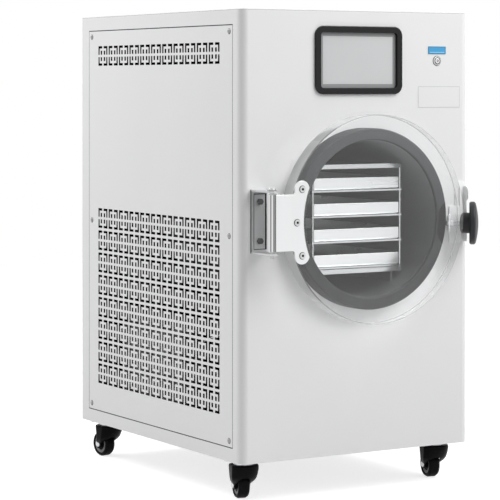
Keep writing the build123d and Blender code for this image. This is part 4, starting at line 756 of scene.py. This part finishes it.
piece("latch_knob_crowned", turned(knob_profile, clamp_foot, clamp_way, 72), knob_plastic,
      body_of["latch_knob"], 0.0004, ("latch_knob",))

# ---------------------------------------------------------------- display
# A semi-gloss black bezel clipped through the front, a grey module behind it, and a touch glass
# with a pale, evenly lit screen.
bezel_plastic = surface("bezel_plastic", (0.006, 0.006, 0.007), 0.22, tone=0.05, grain=1500, peel=0.06,
                        shine=0.3)
module_grey = surface("module_grey", (0.30, 0.305, 0.31), 0.5, tone=0.03, shine=0.3)
screen_glass = surface("screen_glass", (0.60, 0.605, 0.61), 0.3, tone=0.03, drift=4, peel=0.0,
                       shine=0.3)
eased("display_bezel", 0.0016, bezel_plastic)
eased("display_module", 0.0003, module_grey)
eased("display_glass", 0.0002, screen_glass)

# ---------------------------------------------------------------- button and tag
# A satin stainless push button in its collar, on a thin black washer. Over it a small blue tag is
# stuck to the front, with a brighter field and a pale line, and nothing written on it.
button_steel = surface("button_steel", (0.74, 0.745, 0.75), 0.3, tone=0.05, drift=200, grain=2500,
                       metal=0.5)
tag_blue = surface("tag_blue", (0.05, 0.34, 0.64), 0.4, tone=0.02)
tag_edge = surface("tag_edge", (0.04, 0.20, 0.33), 0.4, tone=0.02)
eased("button_ring", 0.0003, button_steel)
eased("power_button", 0.0003, button_steel)
eased("name_tag", 0.0001, tag_edge)
collar_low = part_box("button_ring")[0]
push_low, push_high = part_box("power_button")
button_x, button_z = (push_low.x + push_high.x) / 2, (push_low.z + push_high.z) / 2
push_r = (push_high.x - push_low.x) / 2
collar_r = 0.0083
band_gap, band_shoulder = 0.0001, 0.6
washer_reach, washer_rise = 0.0008, 0.0006
seal_reach, seal_rise = 0.0014, 0.0001
mark_inner, mark_outer, mark_rise = 0.22, 0.40, 0.00005
front_y = shell_low.y


def band(inner, outer, face, rise):
    """A thin flat ring about the button's axis, standing a little over a face."""
    shoulder = rise * band_shoulder
    return turned([(inner, 0), (outer, 0), (outer, shoulder), (outer - rise / 2, rise),
                   (inner + rise / 2, rise), (inner, shoulder)],
                  (button_x, face, button_z), (0, -1, 0), 48, closed=True)


piece("button_washer", band(collar_r + band_gap, collar_r + washer_reach, front_y, washer_rise),
      black_rubber, "cabinet")
piece("button_seal", band(push_r + band_gap, push_r + seal_reach, collar_low.y, seal_rise),
      black_rubber, "cabinet")
piece("button_mark", band(push_r * mark_inner, push_r * mark_outer, push_low.y, mark_rise),
      black_rubber, "button")


def stuck_plate(name, x, z, width, height, corner, face, rise, paint):
    """A thin plate or foil with rounded corners, stuck to a face that looks forward."""
    quarters = ((1, 1, 0), (-1, 1, 90), (-1, -1, 180), (1, -1, 270))
    outline = [point for sx, sz, start in quarters
               for point in arc(x + sx * (width / 2 - corner), z + sz * (height / 2 - corner), corner,
                                start, start + 90, 4)]
    sheet = slab([(px, face, pz) for px, pz in outline], (0, -rise, 0))
    return piece(name, sheet, paint, "cabinet")


tag_low, tag_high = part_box("name_tag")
tag_w, tag_h = tag_high.x - tag_low.x, tag_high.z - tag_low.z
tag_x, tag_z = (tag_low.x + tag_high.x) / 2, (tag_low.z + tag_high.z) / 2
field_in, field_corner, field_rise = 0.0013, 0.0006, 0.0001
line_in, line_up, line_h, line_corner, line_rise = 0.0035, 0.0034, 0.0013, 0.0003, 0.00015
stuck_plate("tag_field", tag_x, tag_z, tag_w - 2 * field_in, tag_h - 2 * field_in, field_corner,
            tag_low.y, field_rise, tag_blue)
tag_pale = surface("tag_pale", (0.36, 0.64, 0.86), 0.4, tone=0.02)
stuck_plate("tag_line", tag_x, tag_low.z + line_up, tag_w - 2 * line_in, line_h, line_corner, tag_low.y,
            line_rise, tag_pale)

# ---------------------------------------------------------------- blank label
# A plain white vinyl label, stuck to the front under the button. It has a pale grey border and
# nothing on it.
label_x, label_z = shell_low.x + 0.4262, shell_low.z + 0.6435
label_w, label_h, label_border = 0.0945, 0.0390, 0.00075
border_corner, border_rise = 0.0012, 0.0002
face_corner, face_rise = 0.0010, 0.0003
vinyl = surface("vinyl", (0.80, 0.80, 0.80), 0.35, tone=0.01)
vinyl_edge = surface("vinyl_edge", (0.52, 0.53, 0.54), 0.4, tone=0.02)
stuck_plate("label_border", label_x, label_z, label_w, label_h, border_corner, front_y, border_rise,
            vinyl_edge)
stuck_plate("label_face", label_x, label_z, label_w - 2 * label_border, label_h - 2 * label_border,
            face_corner, front_y, face_rise, vinyl)

# ---------------------------------------------------------------- works inside
# What shows through the vents and from under the cabinet: a black enamelled compressor, a finned
# condenser with its fan, a copper drier, the zinc control box and the steel pipes.
compressor_black = surface("compressor_black", (0.02, 0.02, 0.022), 0.25, grain=700, peel=0.1,
                           shine=0.3)
fin_aluminium = surface("fin_aluminium", (0.80, 0.81, 0.82), 0.35, drift=60, metal=0.7)
fan_plastic = surface("fan_plastic", (0.03, 0.03, 0.032), 0.5)
sheet_zinc = surface("sheet_zinc", (0.55, 0.56, 0.58), 0.4, tone=0.12, drift=90, metal=1.0)
copper = surface("copper", (0.72, 0.38, 0.24), 0.3, tone=0.1, drift=90, metal=1.0)
pipe_steel = surface("pipe_steel", (0.66, 0.67, 0.68), 0.28, drift=60, metal=1.0)
eased("compressor", 0.0008, compressor_black)
eased("condenser_core", 0.0002, fin_aluminium)
eased("fan_shroud", 0.0004, sheet_zinc)
eased("fan_motor", 0.001, fan_plastic)
eased("fan_blades", 0.0004, fan_plastic)
eased("filter_drier", 0.0005, copper)
eased("control_box", 0.0006, sheet_zinc)
eased("vacuum_pipe", 0.0, pipe_steel)
eased("drain_pipe", 0.0, pipe_steel)

# ---------------------------------------------------------------- back fittings
# What comes out through the back sheet: a turned stainless pump port, a brass drain valve with
# its red lever, and a moulded black power inlet.
brass = surface("brass", (0.70, 0.52, 0.24), 0.3, tone=0.08, drift=120, metal=1.0)
lever_red = surface("lever_red", (0.55, 0.05, 0.04), 0.4, grain=900, peel=0.15)
inlet_black = surface("inlet_black", (0.03, 0.03, 0.032), 0.45)
eased("vacuum_port", 0.0006, pipe_steel)
eased("drain_valve", 0.0005, brass)
eased("drain_lever", 0.0005, lever_red)
eased("power_inlet", 0.0004, inlet_black)

# ---------------------------------------------------------------- casters
# Black enamelled plates and yokes, each on a zinc race, with a black wheel on a nutted axle.
# A yoke is pressed from one sheet: a round hood, deep in front, drawn in to two cheeks.
caster_black = surface("caster_black", (0.004, 0.004, 0.0045), 0.3, grain=700, peel=0.08, shine=0.04)
wheel_black = surface("wheel_black", (0.006, 0.006, 0.007), 0.45, grain=1100, peel=0.1, shine=0.05)
eased("caster_plates", 0.0005, caster_black)
wheel_core = surface("wheel_core", (0.21, 0.21, 0.215), 0.4, grain=1100, peel=0.1, shine=0.3)
axle_r, axle_out, axle_head_r, axle_head_h = 0.0035, 0.0138, 0.006, 0.0032
core_out, core_inner, core_outer = 0.0078, 0.0125, 0.0183
core_sunk, core_shoulder, core_rise, core_ease = 0.0004, 0.0006, 0.0010, 0.0008
yoke_top, yoke_wall, yoke_hole_r, yoke_plate_r, yoke_plate_t = 0.0635, 0.002, 0.0041, 0.0242, 0.0028
boss_r, boss_in, boss_shoulder, boss_ease = 0.009, 0.0116, 0.0132, 0.0006
race_r, race_wall, race_low, race_high = 0.0194, 0.0003, 0.0640, 0.0695
hood_turn, hood_pitch, hood_levels, hood_square = 130, 5, 14, 1.12
# Each step: the drop below the hood's top, its half width, its length in front, how far back its
# middle lies. Each point of the hem: the turn from the front in degrees, how deep the hood hangs.
hood_steps = ((0.0, 0.0240, 0.0240, 0.0), (0.002, 0.0250, 0.0250, 0.0), (0.008, 0.0249, 0.0236, 0.0),
              (0.016, 0.0243, 0.0204, 0.0012), (0.024, 0.0231, 0.0172, 0.0035),
              (0.030, 0.0211, 0.0148, 0.008), (0.036, 0.0168, 0.0118, 0.0145),
              (0.041, 0.0139, 0.0095, 0.018), (0.050, 0.0138, 0.0060, 0.018))
hood_hem = ((0, 0.0235), (15, 0.0245), (25, 0.0288), (30, 0.0302), (35, 0.0332), (50, 0.0385),
            (67, 0.0440), (105, 0.0440), (120, 0.0240), (130, 0.0100))


def between(table, at, column=1):
    """A value read between the rows of a table of sizes."""
    for one, two in zip(table, table[1:]):
        if at <= two[0]:
            return one[column] + (two[column] - one[column]) * (at - one[0]) / (two[0] - one[0])
    return table[-1][column]


def hood(pin, out, trail, wall):
    """Rows of points on one skin of the yoke, set in from its outside by a wall."""
    rows = []
    for turn in range(-hood_turn, hood_turn + 1, hood_pitch):
        hem = between(hood_hem, abs(turn))
        row = []
        for level in range(hood_levels + 1):
            drop = hem * level / hood_levels
            wide, long, back = (between(hood_steps, drop, c) for c in (1, 2, 3))
            x = (wide - wall) * max(-1.0, min(1.0, hood_square * sin(radians(turn))))
            y = back - (long - wall) * cos(radians(turn))
            row.append(pin + out * x + trail * y + Vector((0, 0, yoke_top - drop)))
        rows.append(row)
    return rows


def pressed_yoke(pin, out, trail, axle):
    """The whole yoke: hood, top plate, and a boss round each end of the axle."""
    shape = bmesh.new()
    skins = [[[shape.verts.new(point) for point in row] for row in hood(pin, out, trail, wall)]
             for wall in (0.0, yoke_wall)]
    last, foot = len(skins[0]) - 1, len(skins[0][0]) - 1
    for skin in skins:
        for one, two in zip(skin, skin[1:]):
            for j in range(foot):
                shape.faces.new((one[j], two[j], two[j + 1], one[j + 1]))
    for i in range(last):
        for j in (0, foot):
            shape.faces.new((skins[0][i][j], skins[0][i + 1][j], skins[1][i + 1][j], skins[1][i][j]))
    for i in (0, last):
        for j in range(foot):
            shape.faces.new((skins[0][i][j], skins[0][i][j + 1], skins[1][i][j + 1], skins[1][i][j]))
    bmesh.ops.recalc_face_normals(shape, faces=shape.faces)
    parts = [shape, washer(yoke_hole_r, yoke_plate_r, yoke_plate_t, yoke_plate_t,
                           pin + Vector((0, 0, yoke_top - yoke_plate_t)), (0, 0, 1), 48)]
    for side in (-1, 1):
        parts.append(turned([(0, boss_in), (boss_r, boss_in), (boss_r, boss_shoulder),
                             (boss_r - boss_ease, axle_out), (0, axle_out)], axle, out * side, 32))
    parts.append(turned([(0, -boss_in), (axle_r, -boss_in), (axle_r, boss_in), (0, boss_in)],
                        axle, out, 24))
    return gathered(parts)


for corner in ("front_left", "rear_left", "front_right", "rear_right"):
    eased("wheel_" + corner, 0.0005, wheel_black)
    roll = joint("wheel_roll_" + corner)
    pin = Vector(joint("caster_turn_" + corner)["pos_m"])
    pin.z = 0
    middle = Vector(roll["pos_m"])
    trail = Vector((middle.x - pin.x, middle.y - pin.y, 0)).normalized()
    across = Vector(roll["axis"])
    piece("yoke_hood_" + corner, pressed_yoke(pin, across, trail, middle), caster_black,
          "swivel_" + corner, 0.0003, ("yoke_" + corner,))
    heads, cores = [], []
    for side in (-1, 1):
        out = across * side
        heads.append(turned([(0, 0), (axle_head_r, 0), (axle_head_r, axle_head_h * 0.6),
                             (axle_head_r * 0.8, axle_head_h * 0.95), (0, axle_head_h)],
                            middle + out * axle_out, out, 24))
        cores.append(turned([(core_inner, -core_sunk), (core_outer, -core_sunk),
                             (core_outer, core_shoulder), (core_outer - core_ease, core_rise),
                             (core_inner + core_ease, core_rise), (core_inner, core_shoulder)],
                            middle + out * core_out, out, 40, closed=True))
    piece("axle_" + corner, gathered(heads), zinc, "swivel_" + corner)
    piece("wheel_core_" + corner, gathered(cores), wheel_core, "roller_" + corner)
    race = turned([(race_r - race_wall, race_low), (race_r, race_low), (race_r, race_high),
                   (race_r - race_wall, race_high)], pin, (0, 0, 1), 48, closed=True)
    piece("race_" + corner, race, zinc, "cabinet")
